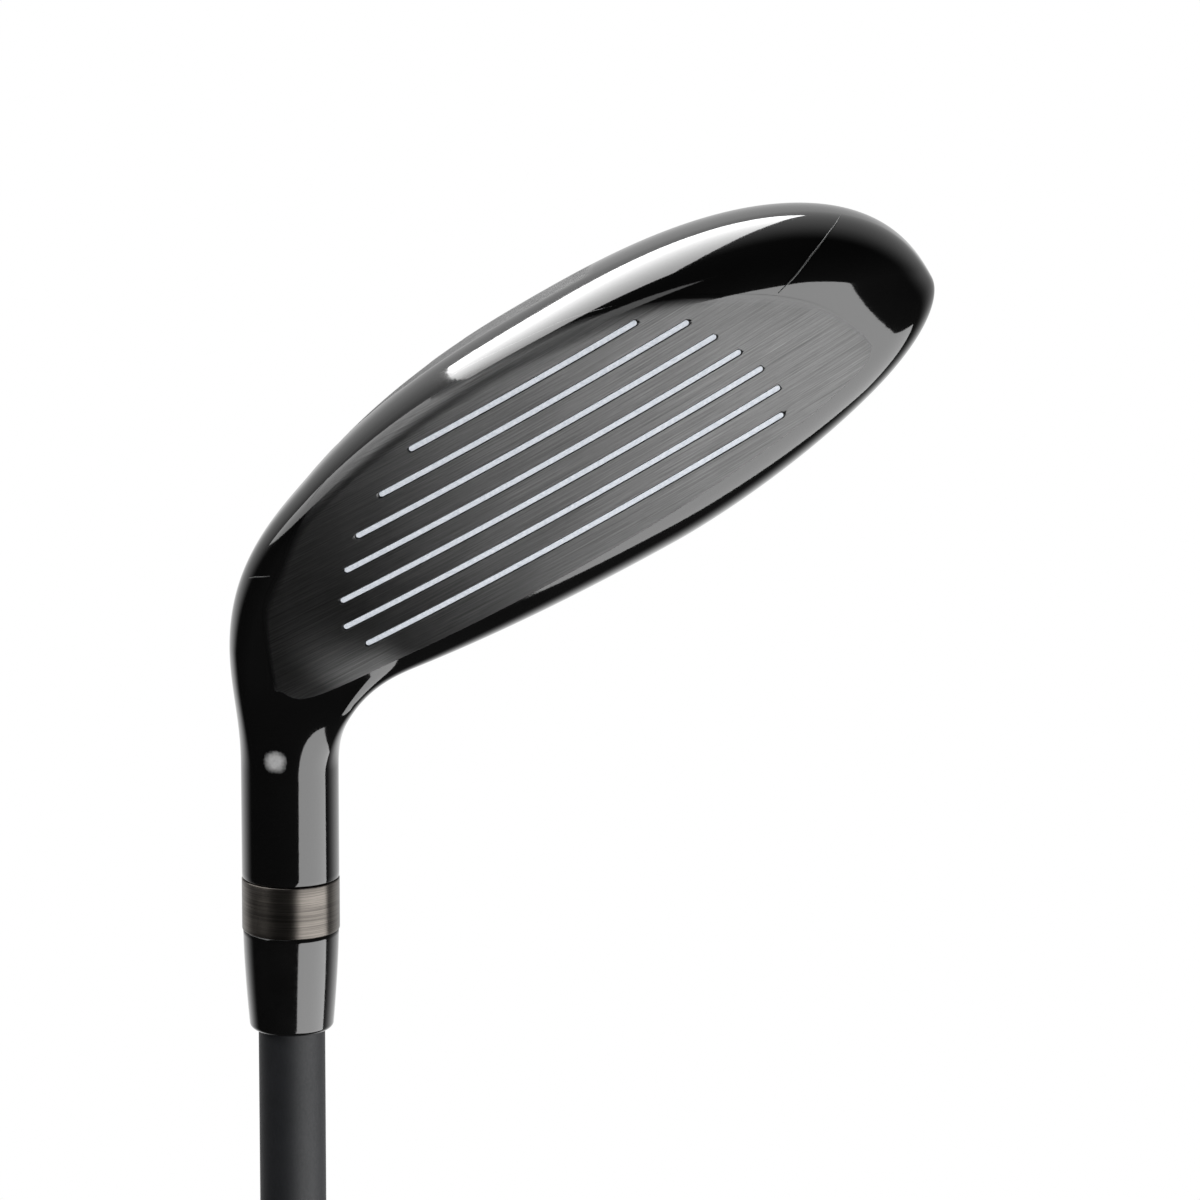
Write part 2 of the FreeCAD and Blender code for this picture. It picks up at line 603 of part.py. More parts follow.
def check(doc, parts):
    """Stop before writing if any object failed or any sub-part is not a sound solid."""
    for thing in doc.Objects:
        if "Invalid" in thing.State or "Error" in thing.State:
            raise RuntimeError("%s did not recompute: %s" % (thing.Label, thing.State))
    for part in parts:
        shape = part.Shape
        if shape.isNull() or not shape.isValid() or not shape.Solids or shape.Volume <= 0.0:
            raise RuntimeError("%s is not a sound solid" % part.Label)


def main():
    doc = FreeCAD.newDocument("hybrid_club")
    form = HeadForm(make_sheet(doc))
    parts = make_head(doc, form) + make_hosel_fittings(doc) + make_shaft(doc) + make_grip(doc)
    doc.recompute()
    check(doc, parts)
    os.makedirs("parts", exist_ok=True)
    for part in parts:
        part.Shape.exportStep(os.path.join("parts", part.Label + ".step"))
        print(part.Label, len(part.Shape.Solids), round(part.Shape.Volume, 1))


main()
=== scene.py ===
import math

import bpy
import numpy as np
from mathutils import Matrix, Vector


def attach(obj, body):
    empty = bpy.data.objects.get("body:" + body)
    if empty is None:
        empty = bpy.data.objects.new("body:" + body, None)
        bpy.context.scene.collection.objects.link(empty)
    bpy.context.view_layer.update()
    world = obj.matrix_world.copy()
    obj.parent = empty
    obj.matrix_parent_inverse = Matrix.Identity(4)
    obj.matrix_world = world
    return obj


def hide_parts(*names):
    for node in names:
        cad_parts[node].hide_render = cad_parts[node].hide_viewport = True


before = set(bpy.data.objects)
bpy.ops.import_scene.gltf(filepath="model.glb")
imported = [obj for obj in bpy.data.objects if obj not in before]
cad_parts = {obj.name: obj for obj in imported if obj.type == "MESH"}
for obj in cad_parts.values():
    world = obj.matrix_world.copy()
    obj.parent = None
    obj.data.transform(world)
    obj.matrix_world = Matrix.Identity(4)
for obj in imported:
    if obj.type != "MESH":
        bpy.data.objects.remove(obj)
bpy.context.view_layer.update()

# Hybrid golf club, metres, in the club's own frame: origin at the grip cap, +Z along the
# shaft from butt to head, face along -Y, toe to +X and +Z.  The head is worked out in
# address terms, as a club maker measures it: t from the shaft axis to the toe along the
# ground, f forward to the target and z up, in millimetres, and placed in the frame last.

MM = 0.001
ROOT = "root"

# ---------------------------------------------------------------- the club's dimensions, mm

CLUB_LENGTH = 1010.0
LIE = math.radians(60.3)
LOFT = math.radians(20.0)

HOSEL_RADIUS, HOSEL_END, BORE_RADIUS, BORE_DEPTH = 6.85, 62.0, 4.8, 30.0
NECK_T, NECK_Z = 0.5, 53.2
NECK_OFFSET = NECK_T * math.sin(LIE) + NECK_Z * math.cos(LIE)
NECK_HEIGHT = NECK_Z * math.sin(LIE) - NECK_T * math.cos(LIE)
NECK_END, NECK_CREST, NECK_HEEL = 0.46, 0.49, 3.4
NECK_FRONT, NECK_FRONT_EASE = 6.7, 1.5
ZONE_ANGLE = math.radians(50.0)          # half the hosel's round that turns into the face
SLOPE_STEP = 0.01                        # step for the slopes where neck and head meet

TOE_T, TOE_ROLL_T = 88.4, 73.0
BELLY_T, BELLY_Z = 40.4, 24.6
CROWN_RISE, CROWN_REACH, CROWN_TOE_POWER = 13.9, 70.2, 1.7
SOLE_RISE, SOLE_CURVE, SOLE_TOE_POWER = 5.2, 2.77, 2.35
BACK_MIDDLE, BACK_REACH, NECK_BACK = -6.0, 38.0, -21.0
TAIL_SHARE = 0.38
TOE_ROLL_POWER, BACK_POWER, NECK_BACK_POWER = 2.5, 1.9, 1.5
ZONE_TURN_T = 24.0                       # t past which the face zone closes towards the toe
ZONE_LOW, ZONE_LOW_TOE = 0.12, 0.38      # face zone's low edge as a share of height, and its rise
ZONE_HIGH, ZONE_HIGH_TOE = 0.905, 0.1    # its high edge, and its fall towards the toe
RIDGE_SHARE, KEEL_SHARE = 0.13, 0.24     # where crown and sole lie level, as shares of the depth
EDGE_PULL, RIDGE_PULL = 0.55, 0.55       # lengths of the arcs' handles as shares of their spans
CROWN_PULL, TAIL_UP_PULL = 0.60, 0.50
TAIL_DOWN_PULL, KEEL_BACK_PULL = 0.62, 0.55
KEEL_PULL, SOLE_EDGE_PULL = 0.72, 0.60

BULGE = 420.0
FACE_T, FACE_F, FACE_Z = 29.5, 12.3, 20.0
BALL_F = FACE_F - BULGE * math.cos(LOFT)
BALL_Z = FACE_Z - BULGE * math.sin(LOFT)

SCORE_FIRST, SCORE_PITCH, SCORE_WIDTH = -13.6, 3.95, 0.8
SCORE_LINES = (               # middle along t and half length, lowest line first
    (33.7, 17.6), (33.3, 24.0), (31.5, 28.0), (30.4, 30.9), (29.7, 33.0), (29.2, 34.2), (29.1, 32.8),
)
FACE_OUTLINE = (              # t and z round the brushed face, from the heel tip along the sole side
    (-17.7, 27.4), (-13.2, 17.5), (-8.0, 13.0), (-1.5, 8.0), (5.4, 4.9), (14.9, 2.5),
    (25.1, 1.4), (35.3, 1.6), (45.5, 2.6), (55.6, 5.7), (62.2, 9.1), (69.1, 13.5),
    (74.1, 18.6), (76.9, 25.2), (75.4, 28.4), (68.6, 30.5), (61.7, 31.8), (48.1, 33.3),
    (34.3, 34.0), (20.5, 34.1), (6.6, 33.7), (-7.3, 32.7), (-14.9, 31.6), (-17.3, 29.2),
)


# ---------------------------------------------------------------- small maths

def mix(a, b, x):
    return a + (b - a) * x


def blend(x):
    """Smooth step from 0 to 1."""
    x = np.clip(x, 0.0, 1.0)
    return x * x * (3.0 - 2.0 * x)


def rounded(x, power):
    """Quarter of a superellipse: 1 at x = 0, falling to 0 at x = 1."""
    return np.maximum(1.0 - np.minimum(np.abs(x), 1.0) ** power, 0.0) ** (1.0 / power)


def eased(a, b, slope, x):
    """Cubic from a, level at x = 0, to b with the given slope at x = 1."""
    return a + (b - a) * (3 * x ** 2 - 2 * x ** 3) + slope * (x ** 3 - x ** 2)


def place(t, f, z):
    """Address coordinates in mm to the club's frame in metres, last axis x, y, z."""
    x = t * math.sin(LIE) + z * math.cos(LIE)
    up = CLUB_LENGTH + t * math.cos(LIE) - z * math.sin(LIE)
    return np.stack(np.broadcast_arrays(x, -f, up), axis=-1) * MM


# ---------------------------------------------------------------- the head's form

def spot(station, rho):
    """t and z of a section's point, rho being its distance from the neck bend's side."""
    height = mix(NECK_HEIGHT, HOSEL_END, np.maximum(-station, 0.0))
    across = NECK_OFFSET - rho
    hosel_t = across * math.sin(LIE) - height * math.cos(LIE)
    hosel_z = across * math.cos(LIE) + height * math.sin(LIE)
    turn = LIE * (1.0 - np.clip(station, 0.0, 1.0))
    neck_t = NECK_T - rho * np.sin(turn) + np.maximum(station - 1.0, 0.0) * (TOE_T - NECK_T)
    neck_z = NECK_Z - rho * np.cos(turn)
    on_hosel = station < 0.0
    return np.where(on_hosel, hosel_t, neck_t), np.where(on_hosel, hosel_z, neck_z)


def face_ball(t, z):
    """f of the striking face, part of a ball of the bulge radius."""
    return BALL_F + np.sqrt(BULGE ** 2 - (t - FACE_T) ** 2 - (z - BALL_Z) ** 2)


def head_front(station, rho):
    """f of the head's front on a section: the ball, raised at the neck to cover the hosel bore."""
    t, z = spot(station, rho)
    ball = face_ball(t, z)
    raised = 0.5 * (ball + NECK_FRONT + np.hypot(ball - NECK_FRONT, NECK_FRONT_EASE))
    front = mix(ball, raised, blend((1.0 - station) / 0.5))
    fade = rounded(np.clip((t - TOE_ROLL_T) / (TOE_T - TOE_ROLL_T), 0.0, 1.0), TOE_ROLL_POWER)
    return BACK_MIDDLE + (front - BACK_MIDDLE) * fade, front


def outline_heights(t):
    """Crown, sole, back and face zone edges along the head, each from arcs of superellipses."""
    across = np.clip((t - BELLY_T) / (TOE_T - BELLY_T), 0.0, 1.0)
    heelward = np.clip((BELLY_T - t) / (BELLY_T - NECK_T), 0.0, None)
    toe_side = t > BELLY_T
    crown = BELLY_Z + CROWN_RISE * np.where(
        toe_side, rounded(across, CROWN_TOE_POWER), rounded((BELLY_T - t) / CROWN_REACH, 2.0))
    sole = np.where(toe_side, BELLY_Z * (1.0 - rounded(across, SOLE_TOE_POWER)),
                    SOLE_RISE * heelward ** SOLE_CURVE)
    deepest = BACK_MIDDLE - BACK_REACH
    back = np.where(toe_side, BACK_MIDDLE - BACK_REACH * rounded(across, SOLE_TOE_POWER),
                    mix(deepest, NECK_BACK, heelward ** BACK_POWER))
    toeward = np.clip((t - ZONE_TURN_T) / (TOE_T - ZONE_TURN_T), 0.0, None)
    low = sole + (crown - sole) * (ZONE_LOW + ZONE_LOW_TOE * toeward ** BACK_POWER)
    high = sole + (crown - sole) * (ZONE_HIGH - ZONE_HIGH_TOE * toeward ** 2)
    return crown, sole, back, low, high


def limits(station):
    """rho of crown and sole, f of the back, and rho of the face zone's low and high edges."""
    t = NECK_T + np.maximum(station - 1.0, 0.0) * (TOE_T - NECK_T)
    crown, sole, back, low, high = outline_heights(t)
    edge = HOSEL_RADIUS * math.sin(ZONE_ANGLE)
    crown_index, sole_index, back_index = 0, 1, 2
    round_values = (NECK_OFFSET - HOSEL_RADIUS, NECK_OFFSET + HOSEL_RADIUS, -HOSEL_RADIUS,
                    NECK_OFFSET + edge, NECK_OFFSET - edge)
    here, beyond = outline_heights(np.array(NECK_T)), outline_heights(np.array(NECK_T + SLOPE_STEP))
    s = np.clip(station, 0.0, 1.0)
    out = []
    for index, (start, value) in enumerate(zip(round_values, (crown, sole, back, low, high))):
        if index == back_index:
            neck = mix(start, here[index], s ** NECK_BACK_POWER)
            out.append(np.where(station < 1.0, neck, value))
            continue
        end = NECK_Z - here[index]
        slope = -(beyond[index] - here[index]) / SLOPE_STEP * end * LIE
        neck = eased(start, end, slope, s)
        if index == crown_index:
            neck = neck + NECK_CREST * 16.0 * s ** 2 * (1.0 - s) ** 2
        if index == sole_index:
            neck = neck + NECK_HEEL * (end - start) * s ** 3 * (1.0 - s) ** 2
        out.append(np.where(station < 1.0, neck, NECK_Z - value))
    return out


def section_poles(station):
    """Bezier poles of the five arcs round each section: shape (stations, 5, 4, 2) of f and rho.

    Face, crown edge, crown, tail and sole, each a cubic; the hosel's are arcs of its circle,
    and the neck's are a mixture of both.
    """
    top, low, back, face_low, face_high = limits(station)
    spread = blend(station / NECK_END)
    sin_zone, cos_zone = math.sin(ZONE_ANGLE), math.cos(ZONE_ANGLE)
    edges = []
    for rho, side in ((face_low, 1.0), (face_high, -1.0)):
        rolled, front = head_front(station, rho)
        climb = (head_front(station, rho - SLOPE_STEP)[1] - front) / SLOPE_STEP
        length = np.hypot(climb, 1.0)
        f = mix(HOSEL_RADIUS * cos_zone, rolled, spread)
        way = np.stack([mix(side * sin_zone, climb / length, spread),
                        mix(-cos_zone, -1.0 / length, spread)], -1)
        edges.append((np.stack([f, rho], -1), way))
    (p_low, way_low), (p_high, way_high) = edges
    low_f, high_f = p_low[:, 0], p_high[:, 0]
    arc = 4.0 / 3.0 * math.tan((math.pi / 2.0 - ZONE_ANGLE) / 4.0) * HOSEL_RADIUS
    quarter = 4.0 / 3.0 * math.tan(math.pi / 8.0) * HOSEL_RADIUS
    front_arc = 4.0 / 3.0 * math.tan(ZONE_ANGLE / 2.0) * HOSEL_RADIUS
    chord = np.hypot(face_low - face_high, low_f - high_f)
    ridge = np.stack([mix(0.0, high_f - RIDGE_SHARE * (high_f - back), spread), top], -1)
    keel = np.stack([mix(0.0, low_f - KEEL_SHARE * (low_f - back), spread), low], -1)
    tail = np.stack([back, mix(NECK_OFFSET, mix(low, top, TAIL_SHARE), spread)], -1)

    def off(point, way, size):
        return point + np.broadcast_to(way, point.shape) * np.asarray(size)[:, None]

    def handle(round_size, head_size):
        return mix(round_size, head_size, spread)

    forward, down = np.array([1.0, 0.0]), np.array([0.0, 1.0])
    face_pull = handle(front_arc, chord / 3.0)
    arcs = [
        (p_low, off(p_low, way_low, face_pull), off(p_high, way_high, -face_pull), p_high),
        (p_high, off(p_high, way_high, handle(arc, EDGE_PULL * (face_high - top))),
         off(ridge, forward, handle(arc, RIDGE_PULL * (high_f - ridge[:, 0]))), ridge),
        (ridge, off(ridge, -forward, handle(quarter, CROWN_PULL * (ridge[:, 0] - back))),
         off(tail, -down, handle(quarter, TAIL_UP_PULL * (tail[:, 1] - top))), tail),
        (tail, off(tail, down, handle(quarter, TAIL_DOWN_PULL * (low - tail[:, 1]))),
         off(keel, -forward, handle(quarter, KEEL_BACK_PULL * (keel[:, 0] - back))), keel),
        (keel, off(keel, forward, handle(arc, KEEL_PULL * (low_f - keel[:, 0]))),
         off(p_low, way_low, -handle(arc, SOLE_EDGE_PULL * (low - face_low))), p_low),
    ]
    return np.stack([np.stack(a, 1) for a in arcs], 1)


def bezier(poles, u):
    """Cubic Bezier at the parameters u: poles (..., 4, 2) to points (..., len(u), 2)."""
    weights = np.stack([(1 - u) ** 3, 3 * u * (1 - u) ** 2, 3 * u ** 2 * (1 - u), u ** 3], 0)
    return np.einsum("...kc,ku->...uc", poles, weights)


# ---------------------------------------------------------------- meshes from grids

def make_piece(name, points, blocks, material, sharp_degrees=None):
    """A smooth mesh object at the origin, its faces turned outward by the sign of its volume.

    points are (n, 3) in metres and blocks a list of (m, 3) or (m, 4) arrays of point numbers.
    """
    points = np.asarray(points, float)
    volume = 0.0
    for block in blocks:
        a = points[block[:, 0]]
        for k in range(1, block.shape[1] - 1):
            volume += np.einsum("ij,ij->", a, np.cross(points[block[:, k]], points[block[:, k + 1]]))
    if volume < 0.0:
        blocks = [block[:, ::-1] for block in blocks]
    mesh = bpy.data.meshes.new(name)
    mesh.from_pydata(points.tolist(), [], [row for block in blocks for row in block.tolist()])
    mesh.materials.append(material)
    mesh.polygons.foreach_set("use_smooth", np.ones(len(mesh.polygons), bool))
    if sharp_degrees:
        mesh.set_sharp_from_angle(angle=math.radians(sharp_degrees))
    piece = bpy.data.objects.new(name, mesh)
    bpy.context.scene.collection.objects.link(piece)
    return piece


def tube_faces(rings, around, start=0, closed=False):
    """Quads between successive rings of points, the last ring joined to the first if closed."""
    i = np.arange(rings if closed else rings - 1)[:, None]
    j = np.arange(around)[None, :]
    k = (j + 1) % around
    here, beyond = start + i * around, start + (i + 1) % rings * around
    return np.stack([here + j, here + k, beyond + k, beyond + j], -1).reshape(-1, 4)


def grid_faces(rows, columns):
    """Quads of a grid of points, and the point numbers round its rim."""
    number = np.arange(rows * columns).reshape(rows, columns)
    quads = np.stack([number[:-1, :-1], number[:-1, 1:], number[1:, 1:], number[1:, :-1]], -1)
    rim = np.concatenate([number[0, :-1], number[:-1, -1], number[-1, :0:-1], number[:0:-1, 0]])
    return quads.reshape(-1, 4), rim


def fan_faces(start, around, pole, first_ring):
    """Triangles from a ring to one point, turned to match tube_faces at either end."""
    j = np.arange(around)
    k = (j + 1) % around
    fan = np.stack([start + j, start + k, np.full(around, pole)], -1)
    return fan[:, ::-1] if first_ring else fan


def set_attribute(piece, name, values):
    layer = piece.data.attributes.new(name, "FLOAT", "POINT")
    layer.data.foreach_set("value", np.asarray(values, np.float32).ravel())


def set_uv(piece, uv):
    """A UV map from one (u, v) for each point."""
    loops = np.empty(len(piece.data.loops), int)
    piece.data.loops.foreach_get("vertex_index", loops)
    layer = piece.data.uv_layers.new(name="surface")
    layer.data.foreach_set("uv", np.asarray(uv, np.float32)[loops].ravel())


def settle(piece, slot, *nodes):
    """Rides the piece on the club and hides the CAD nodes it stands for."""
    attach(piece, ROOT)
    if nodes:
        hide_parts(*nodes)
    return piece


def lathe(name, profile, material, slot, nodes=(), around=192, sharp_degrees=None, relief=None):
    """A piece turned about the Z axis: point = (r cos a, r sin a, h) for each (r, h) in mm.

    The profile runs up the outside and back down the inside, and its ends are joined. relief is
    a height in mm added to r for each profile point and angle.
    """
    profile = np.asarray(profile, float)
    angle = np.linspace(0.0, 2.0 * math.pi, around, endpoint=False)[None]
    r, h = profile[:, 0][:, None], profile[:, 1][:, None]
    if relief is not None:
        r = r + relief
    points = np.stack(np.broadcast_arrays(r * np.cos(angle), r * np.sin(angle), h), -1) * MM
    faces = [tube_faces(len(profile), around, closed=True)]
    piece = make_piece(name, points.reshape(-1, 3), faces, material, sharp_degrees)
    return settle(piece, slot, *nodes)


def bend(centre, radius, start, stop, count=7):
    """Points of a circular arc in a profile, angles in degrees."""
    a = np.radians(np.linspace(start, stop, count))
    return [(centre[0] + radius * math.cos(x), centre[1] + radius * math.sin(x)) for x in a]


# ---------------------------------------------------------------- the head's skin

HOSEL_STATIONS = np.linspace(-1.0, 0.0, 21)[:-1]
NECK_STATIONS = np.linspace(0.0, 1.0, 111)[:-1]
HEAD_STATIONS = 1.0 + np.sin(np.linspace(0.0, 0.5 * math.pi, 191))[:-1]
ARC_SAMPLES = (38, 34, 50, 44, 42)       # points on the face, crown edge, crown, tail and sole


class Front:
    """The skin's front as f over t and z, from a table of sections."""

    def __init__(self):
        self.stations = np.concatenate([NECK_STATIONS, HEAD_STATIONS])
        poles = section_poles(self.stations)
        u = np.linspace(0.0, 1.0, 160)
        sole, face, edge = (bezier(poles[:, i], u) for i in (4, 0, 1))
        line = np.concatenate([sole[:, :-1], face[:, :-1], edge], 1)
        self.low, self.high = line[:, 0, 1], line[:, -1, 1]
        share = np.linspace(0.0, 1.0, 700)
        self.table = np.array([
            np.interp(share, (low - rho) / (low - high), f)
            for f, rho, low, high in zip(line[..., 0], line[..., 1], self.low, self.high)])

    def __call__(self, t, z):
        """f of the skin's front at t and z, linear between the table's entries."""
        dt, dz = t - NECK_T, z - NECK_Z
        along = dt >= 0.0
        rho = np.where(along, -dz, np.hypot(dt, dz))
        turn = np.arctan2(-dt, -dz)
        station = np.where(along, 1.0 + dt / (TOE_T - NECK_T), 1.0 - turn / LIE)
        row = np.interp(station, self.stations, np.arange(len(self.stations)))
        i = np.clip(row.astype(int), 0, len(self.stations) - 2)
        a = row - i
        low, high = mix(self.low[i], self.low[i + 1], a), mix(self.high[i], self.high[i + 1], a)
        column = np.clip((low - rho) / (low - high), 0.0, 1.0) * (self.table.shape[1] - 1)
        j = np.clip(column.astype(int), 0, self.table.shape[1] - 2)
        b = column - j
        return mix(mix(self.table[i, j], self.table[i, j + 1], b),
                   mix(self.table[i + 1, j], self.table[i + 1, j + 1], b), a)


def smooth_loop(corners, count):
    """Closed Catmull-Rom curve through the corners: (count, 2) points."""
    p = np.asarray(corners, float)
    u = np.linspace(0.0, len(p), count, endpoint=False)
    i, x = u.astype(int), (u % 1.0)[:, None]
    a, b, c, d = (p[(i + k) % len(p)] for k in (-1, 0, 1, 2))
    return 0.5 * (2 * b + (c - a) * x + (2 * a - 5 * b + 4 * c - d) * x ** 2
                  + (3 * (b - c) + d - a) * x ** 3)


FACE_LOOP = smooth_loop(FACE_OUTLINE, 1200)


def inside_by(t, z, loop):
    """Distance in mm inside a closed loop of points, negative outside."""
    shape = np.shape(t)
    t, z = np.ravel(t), np.ravel(z)
    coarse = loop[::4]
    reach = np.full(len(t), np.inf)
    turns = np.zeros(len(t))
    for a, b in zip(coarse, np.roll(coarse, -1, 0)):
        edge = b - a
        share = np.clip(((t - a[0]) * edge[0] + (z - a[1]) * edge[1]) / edge.dot(edge), 0.0, 1.0)
        reach = np.minimum(reach, np.hypot(t - a[0] - share * edge[0], z - a[1] - share * edge[1]))
        crosses = (a[1] > z) != (b[1] > z)
        at = a[0] + (z - a[1]) * edge[0] / (edge[1] if abs(edge[1]) > 1e-9 else 1e-9)
        turns += crosses & (t < at)
    return np.where(turns % 2 == 1, reach, -reach).reshape(shape)


WEIGHT_T, WEIGHT_F, WEIGHT_Z, WEIGHT_LEAN = 40.0, -30.0, 4.3, math.radians(16.0)
WEIGHT_RADIUS, WEIGHT_SINK = 6.02, 4.0
WEIGHT_NEAR, FOOT_REACH, RIM_REACH, RIM_BEYOND, WALL_SLOPE = 4.0, 4.6, 5.55, 6.5, 0.03
FACE_SINK, FACE_SINK_MARGIN = 1.4, 0.9
TREAD_HEEL, TREAD_TOE, TREAD_MIDDLE = -10.0, 48.0, 20.0
TREAD_FRONT, TREAD_BACK, TREAD_TOP, TREAD_TAPER = 2.0, -14.0, 14.0, 0.05
TREAD_END, TREAD_SIDE = 1.2, 0.9         # widths of the strip's soft ends and sides
GRIT_RISE, TRIM_GAP, BORE_BEVEL = 0.12, 0.15, 0.3
HOSEL_EDGE, HOSEL_EDGE_STEP, HOSEL_EDGE_RISE = 0.12, 0.03, 0.05


def build_skin(materials):
    """The painted casting, from the hosel's end to the toe.

    Each ring is the section's five cubic arcs; the skin is sunk under the brushed face and the
    sole weight, which cover the sunk parts.
    """
    stations = np.concatenate([HOSEL_STATIONS, NECK_STATIONS, HEAD_STATIONS])
    poles = section_poles(stations)
    loop = np.concatenate([bezier(poles[:, i], np.linspace(0.0, 1.0, count, endpoint=False))
                           for i, count in enumerate(ARC_SAMPLES)], 1)
    f, rho = loop[..., 0], loop[..., 1]
    t, z = spot(stations[:, None], rho)
    under_face = (inside_by(t, z, FACE_LOOP) > FACE_SINK_MARGIN) & (f > BACK_MIDDLE)
    grit = tread_share(t, f, z)
    f = np.where(under_face, f - FACE_SINK, f)
    z = z + GRIT_RISE * grit
    t, f, z = weight_pocket(t, f, z)
    points = place(t, f, z)
    around = loop.shape[1]
    angle = np.arctan2(loop[0, :, 0], loop[0, :, 1] - NECK_OFFSET)
    mouth = []
    for radius, height in ((BORE_RADIUS, HOSEL_END - BORE_DEPTH), (BORE_RADIUS, HOSEL_END - BORE_BEVEL),
                           (BORE_RADIUS + BORE_BEVEL, HOSEL_END), (HOSEL_RADIUS - HOSEL_EDGE, HOSEL_END),
                           (HOSEL_RADIUS - HOSEL_EDGE_STEP, HOSEL_END - HOSEL_EDGE_RISE)):
        mouth.append(np.stack(np.broadcast_arrays(
            -radius * np.cos(angle), -radius * np.sin(angle), CLUB_LENGTH - height), -1) * MM)
    points[0, :, 2] += TRIM_GAP * MM
    toe = place(TOE_T, BACK_MIDDLE, BELLY_Z)
    bottom = np.array([0.0, 0.0, CLUB_LENGTH - HOSEL_END + BORE_DEPTH]) * MM
    rings = np.concatenate([np.array(mouth), points])
    count = len(rings) * around
    everything = np.concatenate([rings.reshape(-1, 3), toe[None], bottom[None]])
    faces = [tube_faces(len(rings), around), fan_faces(count - around, around, count, False),
             fan_faces(0, around, count + 1, True)]
    piece = make_piece("head_casting", everything, faces, materials["coat"], 50.0)
    zeros = np.zeros(len(mouth) * around)
    set_attribute(piece, "grit", np.concatenate([zeros, grit.ravel(), [0.0, 0.0]]))
    return settle(piece, "black_coat", "head_body", "crown_plate")


def weight_pocket(t, f, z):
    """Draws the points about the weight onto its hole's rim and sinks the ones inside.

    Out from the weight's axis, RIM_REACH to RIM_BEYOND goes to the rim, and FOOT_REACH to
    RIM_REACH goes to the foot of the wall, the whole inside moving WEIGHT_SINK along the axis.
    """
    lean_f, lean_z = math.sin(WEIGHT_LEAN), math.cos(WEIGHT_LEAN)
    a, b, c = t - WEIGHT_T, f - WEIGHT_F, z - WEIGHT_Z
    deep = b * lean_f + c * lean_z
    across_t, across_f = a, b * lean_z - c * lean_f
    out = np.maximum(np.hypot(across_t, across_f), 1e-6)
    near = np.abs(deep) < WEIGHT_NEAR
    rim = near & (out >= RIM_REACH) & (out < RIM_BEYOND)
    wall = near & (out >= FOOT_REACH) & (out < RIM_REACH)
    inside = near & (out < RIM_REACH)
    foot = (WEIGHT_RADIUS - WALL_SLOPE) / out
    scale = np.where(rim, WEIGHT_RADIUS / out, np.where(wall, foot, 1.0))
    across_t, across_f = across_t * scale, across_f * scale
    deep = np.where(inside, WEIGHT_SINK, deep)
    return (WEIGHT_T + across_t, WEIGHT_F + across_f * lean_z + deep * lean_f,
            WEIGHT_Z + deep * lean_z - across_f * lean_f)


def tread_share(t, f, z):
    """1 on the sand-blasted strip of the sole behind the leading edge, 0 elsewhere."""
    heel = blend((t - TREAD_HEEL) / TREAD_END)
    toe = blend((TREAD_TOE - t) / TREAD_END)
    front = blend((TREAD_FRONT - TREAD_TAPER * np.abs(t - TREAD_MIDDLE) - f) / TREAD_SIDE)
    back = blend((f - TREAD_BACK) / TREAD_SIDE)
    return heel * toe * front * back * (z < TREAD_TOP)


# ---------------------------------------------------------------- the brushed face

FACE_LIFT, GROOVE_DEPTH, GROOVE_HALF, GROOVE_SLOPE = 0.05, 0.60, 0.43, 0.10
SKIRT_DEPTH, BACK_DEPTH = 0.45, 5.0      # how far the face's edge and its closing point lie behind
FACE_COLUMNS, END_ROWS = 330, 26
SOLE_SIDE_TOP, POLISH_REACH = 27.0, 6.0  # z where the outline's sole side ends, and the fade's height


def on_ball(t, r):
    """z on the face ball for a climb r in mm up the face from its middle."""
    square = np.sqrt(BULGE ** 2 - (t - FACE_T) ** 2 - r ** 2)
    return BALL_Z + r * math.cos(LOFT) + square * math.sin(LOFT)


def groove_share(t, r):
    """1 in the score lines' slots, 0 on the land, with a short slope between."""
    depth = np.zeros(np.broadcast(t, r).shape)
    for number, (middle, half) in enumerate(SCORE_LINES):
        rise = SCORE_FIRST + number * SCORE_PITCH
        beyond = np.maximum(np.abs(t - middle) - (half - SCORE_WIDTH / 2.0), 0.0)
        away = np.hypot(beyond, r - rise)
        depth = np.maximum(depth, np.clip((GROOVE_HALF + GROOVE_SLOPE - away) / GROOVE_SLOPE, 0.0, 1.0))
    return depth


def face_rows():
    """Climbs of the face's rows: close about each score line, and close at both ends."""
    loop_f = face_ball(FACE_LOOP[:, 0], FACE_LOOP[:, 1])
    loop_r = (FACE_LOOP[:, 1] - FACE_Z) * math.cos(LOFT) - (loop_f - FACE_F) * math.sin(LOFT)
    low, high = loop_r.min(), loop_r.max()
    count = len(SCORE_LINES)
    first, last = SCORE_FIRST - 0.7, SCORE_FIRST + (count - 1) * SCORE_PITCH + 0.7
    bottom = low + (first - low) * (1.0 - np.cos(np.linspace(0.0, 0.5 * math.pi, END_ROWS)))[:-1]
    top = last + (high - last) * np.sin(np.linspace(0.0, 0.5 * math.pi, END_ROWS))[1:]
    steps = np.array([-0.55, -0.49, -0.43, -0.30, -0.1, 0.1, 0.30, 0.43, 0.49, 0.55])
    lines = SCORE_FIRST + SCORE_PITCH * np.arange(count)
    gaps = (lines[:-1, None] + SCORE_PITCH * np.array([0.22, 0.36, 0.5, 0.64, 0.78])).ravel()
    middle = np.sort(np.concatenate([[first], (lines[:, None] + steps).ravel(), gaps, [last]]))
    rows = np.concatenate([bottom, middle, top])
    rows[0] += 1e-4
    rows[-1] -= 1e-4
    return rows, loop_r


